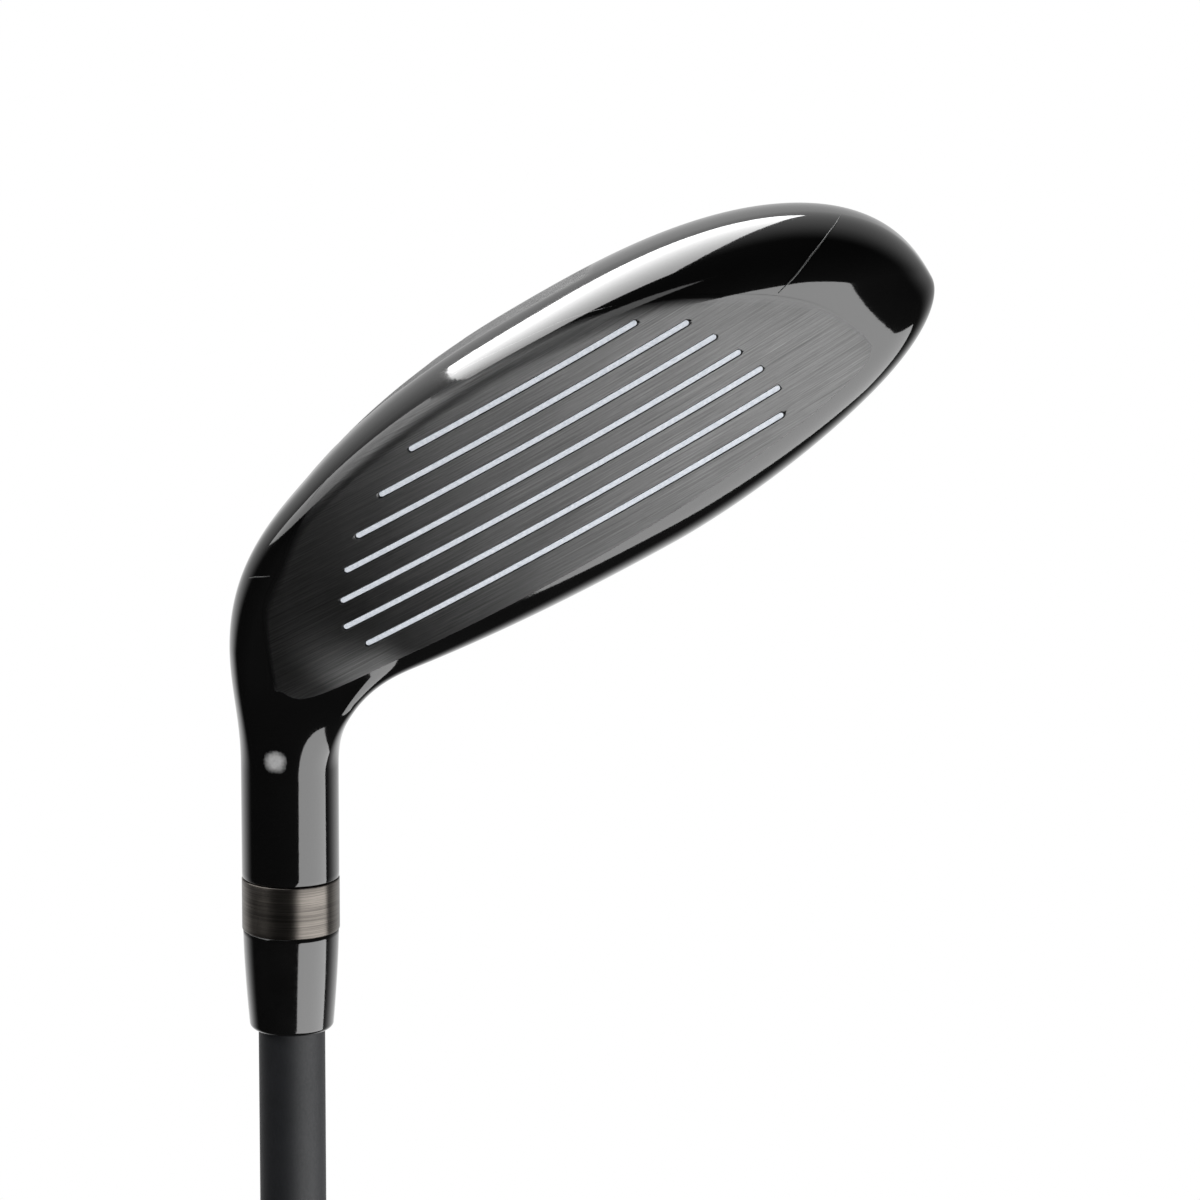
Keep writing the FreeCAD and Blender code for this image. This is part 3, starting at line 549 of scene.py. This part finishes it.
def build_face(front, materials):
    """The brushed face: f = front(t, z) + lift - depth * groove(t, r), r being the climb.

    Rows run heel to toe between the outline's two sides; the back is closed to one point.
    """
    rows, loop_r = face_rows()
    bottom_index, top_index = int(np.argmin(loop_r)), int(np.argmax(loop_r))
    order = np.roll(np.arange(len(loop_r)), -bottom_index)
    turn_at = int(np.where(order == top_index)[0][0])
    one, other = order[:turn_at + 1], order[turn_at:]
    sides = [np.interp(rows, loop_r[side][np.argsort(loop_r[side])],
                       FACE_LOOP[side, 0][np.argsort(loop_r[side])]) for side in (one, other)]
    left, right = np.minimum(*sides), np.maximum(*sides)
    columns = 0.5 - 0.5 * np.cos(np.linspace(0.0, math.pi, FACE_COLUMNS))
    columns = mix(columns, np.linspace(0.0, 1.0, FACE_COLUMNS), 0.75)
    t = left[:, None] + (right - left)[:, None] * columns
    r = np.repeat(rows[:, None], t.shape[1], 1)
    z = on_ball(t, r)
    share = groove_share(t, r)
    f = front(t, z) + FACE_LIFT - GROOVE_DEPTH * share
    points = place(t, f, z)
    quads, rim = grid_faces(*t.shape)
    skirt = place(t, f - SKIRT_DEPTH, z).reshape(-1, 3)[rim]
    back = place(FACE_T, FACE_F - BACK_DEPTH, FACE_Z)
    start = t.size
    ring = np.arange(len(rim))
    beyond = (ring + 1) % len(rim)
    wall = np.stack([rim[beyond], rim[ring], start + ring, start + beyond], -1)
    fan = np.stack([start + beyond, start + ring, np.full(len(rim), start + len(rim))], -1)
    everything = np.concatenate([points.reshape(-1, 3), skirt, back[None]])
    piece = make_piece("brushed_face", everything, [quads, wall, fan],
                       materials["brushed"], sharp_degrees=40.0)
    edge = sole_edge(t, z).ravel()
    set_attribute(piece, "polish", np.concatenate([edge, edge[rim], [0.0]]))
    uv = np.stack([t, r], -1).reshape(-1, 2) / 100.0
    set_uv(piece, np.concatenate([uv, uv[rim], [[0.3, 0.0]]]))
    return settle(piece, "brushed_face", "face_plate")


def sole_edge(t, z):
    """Height above the outline's sole side, as a share of POLISH_REACH from 0 to 1."""
    sole = FACE_LOOP[FACE_LOOP[:, 1] < SOLE_SIDE_TOP]
    order = np.argsort(sole[:, 0])
    low = np.interp(t, sole[order, 0], sole[order, 1])
    return np.clip((z - low) / POLISH_REACH, 0.0, 1.0)


# ---------------------------------------------------------------- small pieces on the head

MARK_T, MARK_F, MARK_SIZE, MARK_PROUD, MARK_DEPTH = 29.3, -2.5, 3.0, 0.05, 0.25
PALE_SPOT = (-23.2, 6.6, 37.4)           # t, f and z of a pale ragged spot on the neck
SPOT_FULL, SPOT_EDGE, SPOT_RAGGED = 0.0013, 0.0023, 0.0011     # metres, as the material has them
TOE_SEAM = ((81.7, 9.9), (79.4, 10.3), (76.0, 11.3), (72.5, 12.6), (69.6, 13.4))
SEAM_RADIUS, SEAM_PROUD, SEAM_RINGS, SEAM_AROUND = 0.10, 0.05, 90, 8
HEEL_SEAM = ((-12.6, 12.55), (-11.6, 12.7), (-9.6, 13.4))


def crown_height(t, f):
    """z of the crown at t and f, read from the section through each t."""
    poles = section_poles(1.0 + (np.ravel(t) - NECK_T) / (TOE_T - NECK_T))
    u = np.linspace(0.0, 1.0, 160)
    line = np.concatenate([bezier(poles[:, 1], u), bezier(poles[:, 2], u)[:, 1:120]], 1)[:, ::-1]
    height = [np.interp(at, row[:, 0], row[:, 1]) for at, row in zip(np.ravel(f), line)]
    return NECK_Z - np.reshape(height, np.shape(t))


def build_mark(materials):
    """A thin painted triangle on the crown's front edge, standing MARK_PROUD above it.

    Rows from the base to the point, each point (t, f) lifted to crown height at that t and f.
    """
    depth = MARK_SIZE * 0.8
    row = np.linspace(0.0, 1.0, 12)[:, None]
    across = np.linspace(-0.5, 0.5, 13)[None]
    t = MARK_T + MARK_SIZE * across * (1.0 - 0.97 * row)
    f = np.broadcast_to(MARK_F - depth * row, t.shape)
    z = crown_height(t, f)
    top = place(t, f, z + MARK_PROUD).reshape(-1, 3)
    low = place(t, f, z - MARK_DEPTH).reshape(-1, 3)
    quads, rim = grid_faces(*t.shape)
    beyond = np.roll(rim, -1)
    wall = np.stack([rim, beyond, beyond + t.size, rim + t.size], -1)[:, ::-1]
    piece = make_piece("aim_mark", np.concatenate([top, low]),
                       [quads, quads[:, ::-1] + t.size, wall], materials["mark"], 30.0)
    return settle(piece, "mark_paint", "alignment_mark")


def build_seam(name, corners, front, materials):
    """A fine bead of paint along a join in the casting.

    Rings of SEAM_RADIUS about a path through (t, z) corners lying on f = front(t, z).
    """
    corners = np.array(corners)
    share = np.linspace(0.0, 1.0, SEAM_RINGS)
    steps = np.linspace(0.0, 1.0, len(corners))
    t, z = (np.interp(share, steps, corners[:, k]) for k in (0, 1))
    path = place(t, front(t, z) + SEAM_PROUD, z)
    ahead = np.gradient(path, axis=0)
    ahead /= np.linalg.norm(ahead, axis=1, keepdims=True)
    side = np.cross(ahead, [0.0, 1.0, 0.0])
    side /= np.linalg.norm(side, axis=1, keepdims=True)
    out = np.cross(side, ahead)
    angle = np.linspace(0.0, 2.0 * math.pi, SEAM_AROUND, endpoint=False)[None, :, None]
    radius = SEAM_RADIUS * MM * np.sin(math.pi * mix(0.04, 0.96, share))[:, None, None] ** 0.3
    rings = path[:, None] + radius * (np.cos(angle) * side[:, None] + np.sin(angle) * out[:, None])
    count = SEAM_RINGS * SEAM_AROUND
    last = count - SEAM_AROUND
    points = np.concatenate([rings.reshape(-1, 3), path[:1], path[-1:]])
    faces = [tube_faces(SEAM_RINGS, SEAM_AROUND), fan_faces(last, SEAM_AROUND, count + 1, False),
             fan_faces(0, SEAM_AROUND, count, True)]
    piece = make_piece(name, points, faces, materials["seam"])
    return settle(piece, "black_coat", "head_body")


# ---------------------------------------------------------------- turned pieces

RING_RADIUS, RING_LENGTH, RING_EDGE, RING_CHAMFER = 6.88, 7.4, 0.16, 0.35
FERRULE_BASE, FERRULE_END, FERRULE_LENGTH = 6.75, 5.95, 14.5
FERRULE_NOSE, FERRULE_LIP = 0.8, 0.12
TIP_RADIUS, TIP_STRAIGHT, TIP_WALL = 4.7, 90.0, 1.9
BUTT_RADIUS, BUTT_STRAIGHT, BUTT_WALL, BUTT_INSET = 7.6, 280.0, 1.1, 3.6
GRIP_LENGTH, GRIP_BUTT, GRIP_MOUTH, CAP_RADIUS, CAP_THICKNESS = 267.0, 13.4, 9.6, 14.6, 3.6
VENT_RADIUS, TAPE_THICKNESS = 1.5, 0.35
MOUTH_BEVEL, GRIP_WAIST, GRIP_FLARE = 0.6, 0.6, 0.9
CELL_DEPTH, CELLS_AROUND, GRIP_AROUND = 0.45, 10, 150
BAND_HEIGHTS = (96.0, 182.0)             # middles of the plain bands round the grip


def build_ring(materials):
    low = CLUB_LENGTH - HOSEL_END - TRIM_GAP - RING_LENGTH
    high = low + RING_LENGTH
    r = RING_RADIUS
    profile = [(TIP_RADIUS, low)] + [(r - RING_CHAMFER, low)]
    profile += bend((r - RING_EDGE, low + RING_EDGE), RING_EDGE, -90, 0, 5)
    profile += [(r, mix(low, high, k / 8)) for k in range(1, 8)]
    profile += bend((r - RING_EDGE, high - RING_EDGE), RING_EDGE, 0, 90, 5)
    profile += [(r - RING_CHAMFER, high), (TIP_RADIUS, high)]
    return lathe("hosel_trim_ring", profile, materials["ring"], "ring_metal", ["hosel_ring"],
                 sharp_degrees=50.0)


def build_ferrule(materials):
    high = CLUB_LENGTH - HOSEL_END - TRIM_GAP - RING_LENGTH
    low = high - FERRULE_LENGTH
    nose = FERRULE_NOSE
    profile = [(TIP_RADIUS, low)] + bend((FERRULE_END - nose, low + nose), nose, -90, 0, 9)
    for share in np.linspace(0.0, 1.0, 24)[1:-1]:
        radius = mix(FERRULE_END, FERRULE_BASE, 1.0 - (1.0 - share) ** 1.5)
        profile.append((radius, mix(low + nose, high - FERRULE_LIP, share)))
    profile += [(FERRULE_BASE, high - FERRULE_LIP), (FERRULE_BASE - FERRULE_LIP, high)]
    profile += [(TIP_RADIUS, high)]
    return lathe("ferrule_collar", profile, materials["ferrule"], "ferrule_plastic", ["ferrule"],
                 sharp_degrees=50.0)


def build_shaft(materials):
    """Tapered tube, straight for a while at each end."""
    end = CLUB_LENGTH - HOSEL_END + BORE_DEPTH
    outside = [(BUTT_RADIUS, BUTT_INSET), (BUTT_RADIUS, BUTT_INSET + BUTT_STRAIGHT)]
    for share in np.linspace(0.0, 1.0, 160)[1:-1]:
        outside.append((mix(BUTT_RADIUS, TIP_RADIUS, share),
                        mix(BUTT_INSET + BUTT_STRAIGHT, end - TIP_STRAIGHT, share)))
    outside += [(TIP_RADIUS, end - TIP_STRAIGHT), (TIP_RADIUS, end)]
    inside = [(TIP_RADIUS - TIP_WALL, end), (TIP_RADIUS - TIP_WALL, end - TIP_STRAIGHT),
              (BUTT_RADIUS - BUTT_WALL, BUTT_INSET + BUTT_STRAIGHT),
              (BUTT_RADIUS - BUTT_WALL, BUTT_INSET)]
    return lathe("graphite_shaft", outside + inside, materials["shaft"], "shaft_coat", ["shaft"],
                 sharp_degrees=50.0)


def build_grip(materials):
    """Rubber sleeve with rings of moulded cells between plain bands.

    Relief is -CELL_DEPTH where the product sin(10 a + w) sin(h / 1.3 + 2 w) is above a level,
    with a short slope round it, w being a slow wave along the height h.
    """
    low, high = CAP_THICKNESS, GRIP_LENGTH
    height = np.linspace(low + MOUTH_BEVEL, high - 1.0, 620)
    share = (height - low) / (high - low)
    outer = np.interp(share, [0.0, 0.25, 0.8, 1.0],
                      [GRIP_BUTT, GRIP_BUTT - GRIP_WAIST, GRIP_MOUTH + GRIP_FLARE, GRIP_MOUTH])
    profile = [(GRIP_BUTT - MOUTH_BEVEL, low)] + list(zip(outer, height))
    inner = BUTT_RADIUS + TAPE_THICKNESS
    profile += [(GRIP_MOUTH - MOUTH_BEVEL, high), (inner, high), (inner, low)]
    profile = np.array(profile)
    angle = np.linspace(0.0, 2.0 * math.pi, GRIP_AROUND, endpoint=False)[None]
    h = profile[:, 1][:, None]
    wave = np.sin(h / 6.0) * 0.9
    cells = blend((np.sin(CELLS_AROUND * angle + wave) * np.sin(h / 1.3 + 2.0 * wave) - 0.05) / 0.3)
    bands = blend((h - low - 14.0) / 2.0) * blend((high - 16.0 - h) / 2.0)
    for middle in BAND_HEIGHTS:
        bands = bands * (1.0 - blend(4.0 - np.abs(h - middle)))
    outside = np.zeros((len(profile), 1))
    outside[1:-3] = 1.0
    return lathe("rubber_grip", profile, materials["rubber"], "grip_rubber", ["grip_sleeve"],
                 around=GRIP_AROUND, sharp_degrees=60.0,
                 relief=-CELL_DEPTH * cells * bands * outside)


def build_cap(materials):
    r, top = CAP_RADIUS, CAP_THICKNESS
    profile = [(VENT_RADIUS, 0.25)] + bend((VENT_RADIUS + 0.25, 0.25), 0.25, 180, 270, 4)
    profile += [(6.0, 0.0), (6.15, 0.25), (7.1, 0.25), (7.25, 0.0), (r - 2.2, 0.0)]
    profile += bend((r - 2.0, 2.0), 2.0, -85, 0, 9)
    profile += [(r - 0.15, top - 0.5), (r - 0.6, top), (VENT_RADIUS, top)]
    return lathe("grip_end_cap", profile, materials["cap"], "cap_rubber", ["grip_cap"],
                 sharp_degrees=40.0)


# ---------------------------------------------------------------- materials

class Nodes:
    """Short hand for building a node material."""

    def __init__(self, name):
        self.material = bpy.data.materials.new(name)
        self.material.use_nodes = True
        self.tree = self.material.node_tree
        self.tree.nodes.clear()
        self.output = self.add("ShaderNodeOutputMaterial")

    def add(self, kind, **facts):
        node = self.tree.nodes.new(kind)
        for key, value in facts.items():
            setattr(node, key, value)
        return node

    def join(self, source, target):
        self.tree.links.new(source, target)

    def put(self, node, **values):
        """Sets input sockets by name, spaces written as underscores; a socket is linked."""
        for key, value in values.items():
            socket = node.inputs[key.replace("_", " ")]
            if isinstance(value, bpy.types.NodeSocket):
                self.join(value, socket)
            else:
                socket.default_value = value
        return node

    def principled(self, **values):
        return self.put(self.add("ShaderNodeBsdfPrincipled"), **values)

    def coordinates(self, scale=(1.0, 1.0, 1.0), source="Object"):
        texture = self.add("ShaderNodeTexCoord")
        mapping = self.put(self.add("ShaderNodeMapping"), Scale=scale)
        self.join(texture.outputs[source], mapping.inputs["Vector"])
        return mapping.outputs["Vector"]

    def noise(self, vector, scale, detail=4.0, roughness=0.6):
        node = self.put(self.add("ShaderNodeTexNoise"), Vector=vector, Scale=scale, Detail=detail,
                        Roughness=roughness)
        return node.outputs["Fac"]

    def ramp(self, value, low, high, to_low, to_high):
        node = self.put(self.add("ShaderNodeMapRange"), Value=value, From_Min=low, From_Max=high,
                        To_Min=to_low, To_Max=to_high)
        return node.outputs["Result"]

    def tint(self, value, dark, light):
        """A colour between two by a value from 0 to 1."""
        node = self.add("ShaderNodeMix", data_type="RGBA")
        self.join(value, node.inputs[0])
        node.inputs[6].default_value = dark
        node.inputs[7].default_value = light
        return node.outputs[2]

    def bump(self, height, strength, distance):
        node = self.put(self.add("ShaderNodeBump"), Height=height, Strength=strength,
                        Distance=distance)
        return node.outputs["Normal"]

    def attribute(self, name):
        return self.add("ShaderNodeAttribute", attribute_name=name).outputs["Fac"]

    def between(self, share, first, second):
        node = self.add("ShaderNodeMixShader")
        self.join(share, node.inputs[0])
        self.join(first.outputs[0], node.inputs[1])
        self.join(second.outputs[0], node.inputs[2])
        return node

    def finish(self, shader):
        self.join(shader.outputs[0], self.output.inputs["Surface"])
        return self.material


def grey(value):
    return (value, value, value, 1.0)


def gloss_coat(m):
    """Deep gloss black paint with a faint waviness and specks of dust."""
    where = m.coordinates()
    wave = m.noise(where, 900.0, 2.0)
    smudge = m.noise(where, 60.0, 5.0, 0.65)
    return m.principled(
        Base_Color=m.tint(smudge, grey(0.0035), grey(0.006)),
        Roughness=m.ramp(smudge, 0.3, 0.8, 0.05, 0.10), Specular_IOR_Level=0.5,
        Coat_Weight=0.4, Coat_Roughness=0.03,
        Normal=m.bump(wave, 0.015, 0.0004))


def black_coat():
    """Gloss black paint, sanded where grit is 1, with a ragged pale spot on the neck."""
    m = Nodes("gloss black coat")
    gloss = gloss_coat(m)
    where = m.coordinates()
    grain = m.noise(where, 2600.0, 3.0, 0.7)
    patch = m.noise(where, 260.0, 4.0, 0.6)
    sand = m.principled(
        Base_Color=m.tint(m.ramp(grain, 0.35, 0.7, 0.0, 1.0), grey(0.045), grey(0.13)),
        Metallic=0.3, Roughness=m.ramp(patch, 0.3, 0.7, 0.5, 0.65),
        Normal=m.bump(grain, 0.6, 0.00018))
    away = m.add("ShaderNodeVectorMath", operation="DISTANCE")
    m.join(where, away.inputs[0])
    away.inputs[1].default_value = tuple(place(*PALE_SPOT))
    ragged = m.add("ShaderNodeMath", operation="MULTIPLY_ADD")
    m.join(m.noise(where, 1400.0, 4.0, 0.8), ragged.inputs[0])
    ragged.inputs[1].default_value = SPOT_RAGGED
    m.join(away.outputs["Value"], ragged.inputs[2])
    # a pale rough spot on the neck, solid near its point and ragged at its edge
    pale_spot = m.principled(Base_Color=m.tint(grain, grey(0.42), grey(0.75)), Roughness=0.6)
    spotted = m.between(m.ramp(ragged.outputs[0], SPOT_FULL, SPOT_EDGE, 1.0, 0.0), gloss, pale_spot)
    return m.finish(m.between(m.attribute("grit"), spotted, sand))


def brushed_steel():
    """Dark plated steel brushed heel to toe, fading to gloss along the sole side."""
    m = Nodes("brushed dark steel")
    fine = m.noise(m.coordinates((22.0, 2400.0, 1.0), "UV"), 1.0, 5.0, 0.75)
    long_marks = m.noise(m.coordinates((5.0, 620.0, 1.0), "UV"), 1.0, 4.0, 0.7)
    cloud = m.noise(m.coordinates((4.0, 9.0, 1.0), "UV"), 1.0, 3.0)
    brush = m.add("ShaderNodeMath", operation="MULTIPLY")
    m.join(fine, brush.inputs[0])
    m.join(long_marks, brush.inputs[1])
    tangent = m.add("ShaderNodeTangent", direction_type="UV_MAP", uv_map="surface")
    metal = m.principled(
        Base_Color=m.tint(m.ramp(brush.outputs[0], 0.12, 0.40, 0.0, 1.0), grey(0.055), grey(0.17)),
        Metallic=1.0, Roughness=m.ramp(cloud, 0.3, 0.7, 0.38, 0.43), Anisotropic=0.92,
        Anisotropic_Rotation=0.25, Tangent=tangent.outputs["Tangent"],
        Normal=m.bump(fine, 0.25, 0.00004))
    polish = m.ramp(m.attribute("polish"), 0.08, 0.30, 1.0, 0.0)
    return m.finish(m.between(polish, metal, gloss_coat(m)))


def line_paint():
    m = Nodes("pale blue-grey line paint")
    where = m.coordinates()
    speck = m.noise(where, 2200.0, 3.0, 0.8)
    paint = m.principled(
        Base_Color=m.tint(m.ramp(speck, 0.3, 0.7, 0.0, 1.0), (0.60, 0.65, 0.72, 1.0),
                          (0.90, 0.94, 1.00, 1.0)),
        Roughness=0.6, Normal=m.bump(speck, 0.2, 0.00005))
    return m.finish(paint)


def turned_metal(name, dark, light, roughness, scale=(60.0, 60.0, 9000.0)):
    """Metal turned about the shaft axis, with fine rings round it."""
    m = Nodes(name)
    rings = m.noise(m.coordinates(scale), 1.0, 4.0, 0.7)
    cloud = m.noise(m.coordinates(), 240.0, 3.0)
    tangent = m.add("ShaderNodeTangent", direction_type="RADIAL", axis="Z")
    metal = m.principled(
        Base_Color=m.tint(m.ramp(rings, 0.3, 0.7, 0.0, 1.0), dark, light), Metallic=1.0,
        Roughness=m.ramp(cloud, 0.3, 0.7, roughness - 0.03, roughness + 0.03), Anisotropic=0.8,
        Anisotropic_Rotation=0.25, Tangent=tangent.outputs["Tangent"],
        Normal=m.bump(rings, 0.15, 0.00003))
    return m.finish(metal)


def plain_plastic(name, dark, light, roughness, grain_scale, grain_depth, coat=0.0):
    """Plastic, rubber, paper or resin with a grain."""
    m = Nodes(name)
    where = m.coordinates()
    grain = m.noise(where, grain_scale, 4.0, 0.65)
    cloud = m.noise(where, grain_scale / 9.0, 3.0)
    body = m.principled(
        Base_Color=m.tint(m.ramp(cloud, 0.3, 0.7, 0.0, 1.0), dark, light),
        Roughness=m.ramp(grain, 0.3, 0.7, roughness - 0.05, roughness + 0.05),
        Coat_Weight=coat, Coat_Roughness=0.08, Normal=m.bump(grain, 0.35, grain_depth))
    return m.finish(body)


def all_materials():
    return {
        "coat": black_coat(),
        "brushed": brushed_steel(),
        "line": line_paint(),
        "seam": plain_plastic("seam bead", grey(0.05), grey(0.10), 0.3, 2500.0, 0.00001),
        "mark": plain_plastic("pale grey mark paint", grey(0.30), grey(0.42), 0.5, 2500.0, 0.00003),
        "weight": turned_metal("machined weight", grey(0.16), grey(0.30), 0.30,
                               (2500.0, 2500.0, 2500.0)),
        "ring": turned_metal("gunmetal ring", (0.06, 0.055, 0.05, 1.0), (0.22, 0.20, 0.18, 1.0), 0.36),
        "ferrule": plain_plastic("gloss black ferrule", grey(0.004), grey(0.007), 0.10, 1500.0,
                                 0.00001, 0.5),
        "bond": plain_plastic("amber resin", (0.10, 0.05, 0.02, 1.0), (0.16, 0.09, 0.03, 1.0), 0.35,
                              900.0, 0.00003),
        "shaft": plain_plastic("matte charcoal shaft", (0.009, 0.010, 0.012, 1.0),
                               (0.013, 0.014, 0.017, 1.0), 0.6, 2600.0, 0.00002),
        "plug": turned_metal("brass tip weight", (0.45, 0.30, 0.12, 1.0), (0.60, 0.42, 0.18, 1.0), 0.3),
        "tape": plain_plastic("paper tape", (0.60, 0.55, 0.44, 1.0), (0.72, 0.67, 0.56, 1.0), 0.8,
                              1200.0, 0.00004),
        "rubber": plain_plastic("black grip rubber", grey(0.010), grey(0.018), 0.72, 3000.0, 0.00006),
        "cap": plain_plastic("black cap rubber", grey(0.012), grey(0.02), 0.65, 2600.0, 0.00005),
    }


def paint_kept_nodes(materials):
    """Finishes on the CAD nodes that are shown as they are."""
    for node, key, slot in (("score_line_fill", "line", "line_paint"),
                            ("sole_weight", "weight", "weight_metal"),
                            ("shaft_bond", "bond", "bond_resin"),
                            ("tip_weight", "plug", "plug_brass"),
                            ("grip_tape", "tape", "tape_paper")):
        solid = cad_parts[node]
        solid.data.materials.clear()
        solid.data.materials.append(materials[key])


# ---------------------------------------------------------------- studio

HEAD = np.array([0.040, 0.0, 0.985])     # middle of the head, what the lights are aimed at
VIEW_POINT, VIEW_DISTANCE = np.array([0.0433, 0.0, 0.9878]), 0.695
VIEW_ELEVATION, VIEW_ROLL = math.radians(12.0), math.radians(0.3)
FLOOR_RADIUS, FLOOR_SIDES = 2.0, 128


def aim(thing, direction):
    """Turns a lamp or camera to look along a direction, its top up."""
    thing.rotation_euler = Vector(direction).to_track_quat("-Z", "Y").to_euler()


def soft_box(name, azimuth, elevation, distance, width, height, radiance, turn=0.0):
    """An area light seen from the head at an azimuth right of the front and an elevation.

    radiance is how bright it looks, and the lamp's power is pi times its area times radiance.
    """
    a, e = math.radians(azimuth), math.radians(elevation)
    way = np.array([math.sin(a) * math.cos(e), -math.cos(a) * math.cos(e), math.sin(e)])
    data = bpy.data.lights.new(name, "AREA")
    data.shape = "RECTANGLE"
    data.size, data.size_y = width, height
    data.energy = math.pi * (width * height) * radiance
    lamp = bpy.data.objects.new(name, data)
    lamp.location = HEAD + way * distance
    aim(lamp, -way)
    lamp.rotation_euler.rotate_axis("Z", math.radians(turn))
    lamp.visible_camera = False
    bpy.context.scene.collection.objects.link(lamp)


def build_world():
    """White behind the object; for reflections, a studio that is bright behind and dark in front."""
    world = bpy.data.worlds.new("studio")
    bpy.context.scene.world = world
    world.use_nodes = True
    tree = world.node_tree
    tree.nodes.clear()
    add, join = tree.nodes.new, tree.links.new
    output = add("ShaderNodeOutputWorld")
    geometry = add("ShaderNodeNewGeometry")
    split = add("ShaderNodeSeparateXYZ")
    join(geometry.outputs["Incoming"], split.inputs[0])
    shares = []
    for axis, low, high, least, most in (("Y", -0.15, -0.75, 0.012, 1.1),
                                         ("Z", -0.15, 0.45, 0.3, 1.0)):
        share = add("ShaderNodeMapRange")
        share.interpolation_type = "SMOOTHSTEP"
        for socket, value in (("From Min", low), ("From Max", high),
                              ("To Min", least), ("To Max", most)):
            share.inputs[socket].default_value = value
        join(split.outputs[axis], share.inputs["Value"])
        shares.append(share)
    depth = add("ShaderNodeMath")
    depth.operation = "MULTIPLY"
    for number, share in enumerate(shares):
        join(share.outputs["Result"], depth.inputs[number])
    room = add("ShaderNodeBackground")
    join(depth.outputs[0], room.inputs["Strength"])
    white = add("ShaderNodeBackground")
    white.inputs["Strength"].default_value = 1.0
    for node in (room, white):
        node.inputs["Color"].default_value = (1.0, 1.0, 1.0, 1.0)
    path = add("ShaderNodeLightPath")
    either = add("ShaderNodeMixShader")
    join(path.outputs["Is Camera Ray"], either.inputs[0])
    join(room.outputs[0], either.inputs[1])
    join(white.outputs[0], either.inputs[2])
    join(either.outputs[0], output.inputs["Surface"])


def build_floor():
    """A pale floor disc under the standing club."""
    angle = np.linspace(0.0, 2.0 * math.pi, FLOOR_SIDES, endpoint=False)
    rim = np.stack([np.cos(angle), np.sin(angle), np.zeros(FLOOR_SIDES)], -1) * FLOOR_RADIUS
    mesh = bpy.data.meshes.new("floor")
    mesh.from_pydata(rim.tolist(), [], [list(range(FLOOR_SIDES))])
    m = Nodes("pale floor")
    cloud = m.noise(m.coordinates(), 6.0, 3.0)
    mesh.materials.append(m.finish(m.principled(
        Base_Color=m.tint(cloud, grey(0.78), grey(0.82)), Roughness=0.8)))
    floor = bpy.data.objects.new("floor", mesh)
    bpy.context.scene.collection.objects.link(floor)
    floor.visible_glossy = False


def build_lights():
    soft_box("right box", 57.0, -34.0, 0.42, 0.62, 0.33, 4.2)
    soft_box("left box", -86.0, 31.0, 1.1, 1.35, 0.7, 2.2)
    soft_box("front top box", -42.0, 50.0, 1.1, 1.2, 0.46, 1.3)
    soft_box("rear top box", -153.8, 46.9, 1.0, 0.5, 1.15, 4.5, -38.0)


def build_camera():
    data = bpy.data.cameras.new("camera")
    data.lens, data.sensor_width = 150.0, 36.0
    data.clip_start = 0.05
    camera = bpy.data.objects.new("camera", data)
    way = np.array([0.0, -math.cos(VIEW_ELEVATION), math.sin(VIEW_ELEVATION)])
    camera.location = VIEW_POINT + way * VIEW_DISTANCE
    aim(camera, -way)
    camera.rotation_euler.rotate_axis("Z", VIEW_ROLL)
    bpy.context.scene.collection.objects.link(camera)
    bpy.context.scene.camera = camera


def main():
    materials = all_materials()
    front = Front()
    build_skin(materials)
    build_face(front, materials)
    build_mark(materials)
    build_seam("toe_seam", TOE_SEAM, front, materials)
    build_seam("heel_seam", HEEL_SEAM, front, materials)
    build_ring(materials)
    build_ferrule(materials)
    build_shaft(materials)
    build_grip(materials)
    build_cap(materials)
    paint_kept_nodes(materials)
    build_world()
    build_floor()
    build_lights()
    build_camera()
    bpy.context.scene.view_settings.view_transform = "Standard"


main()
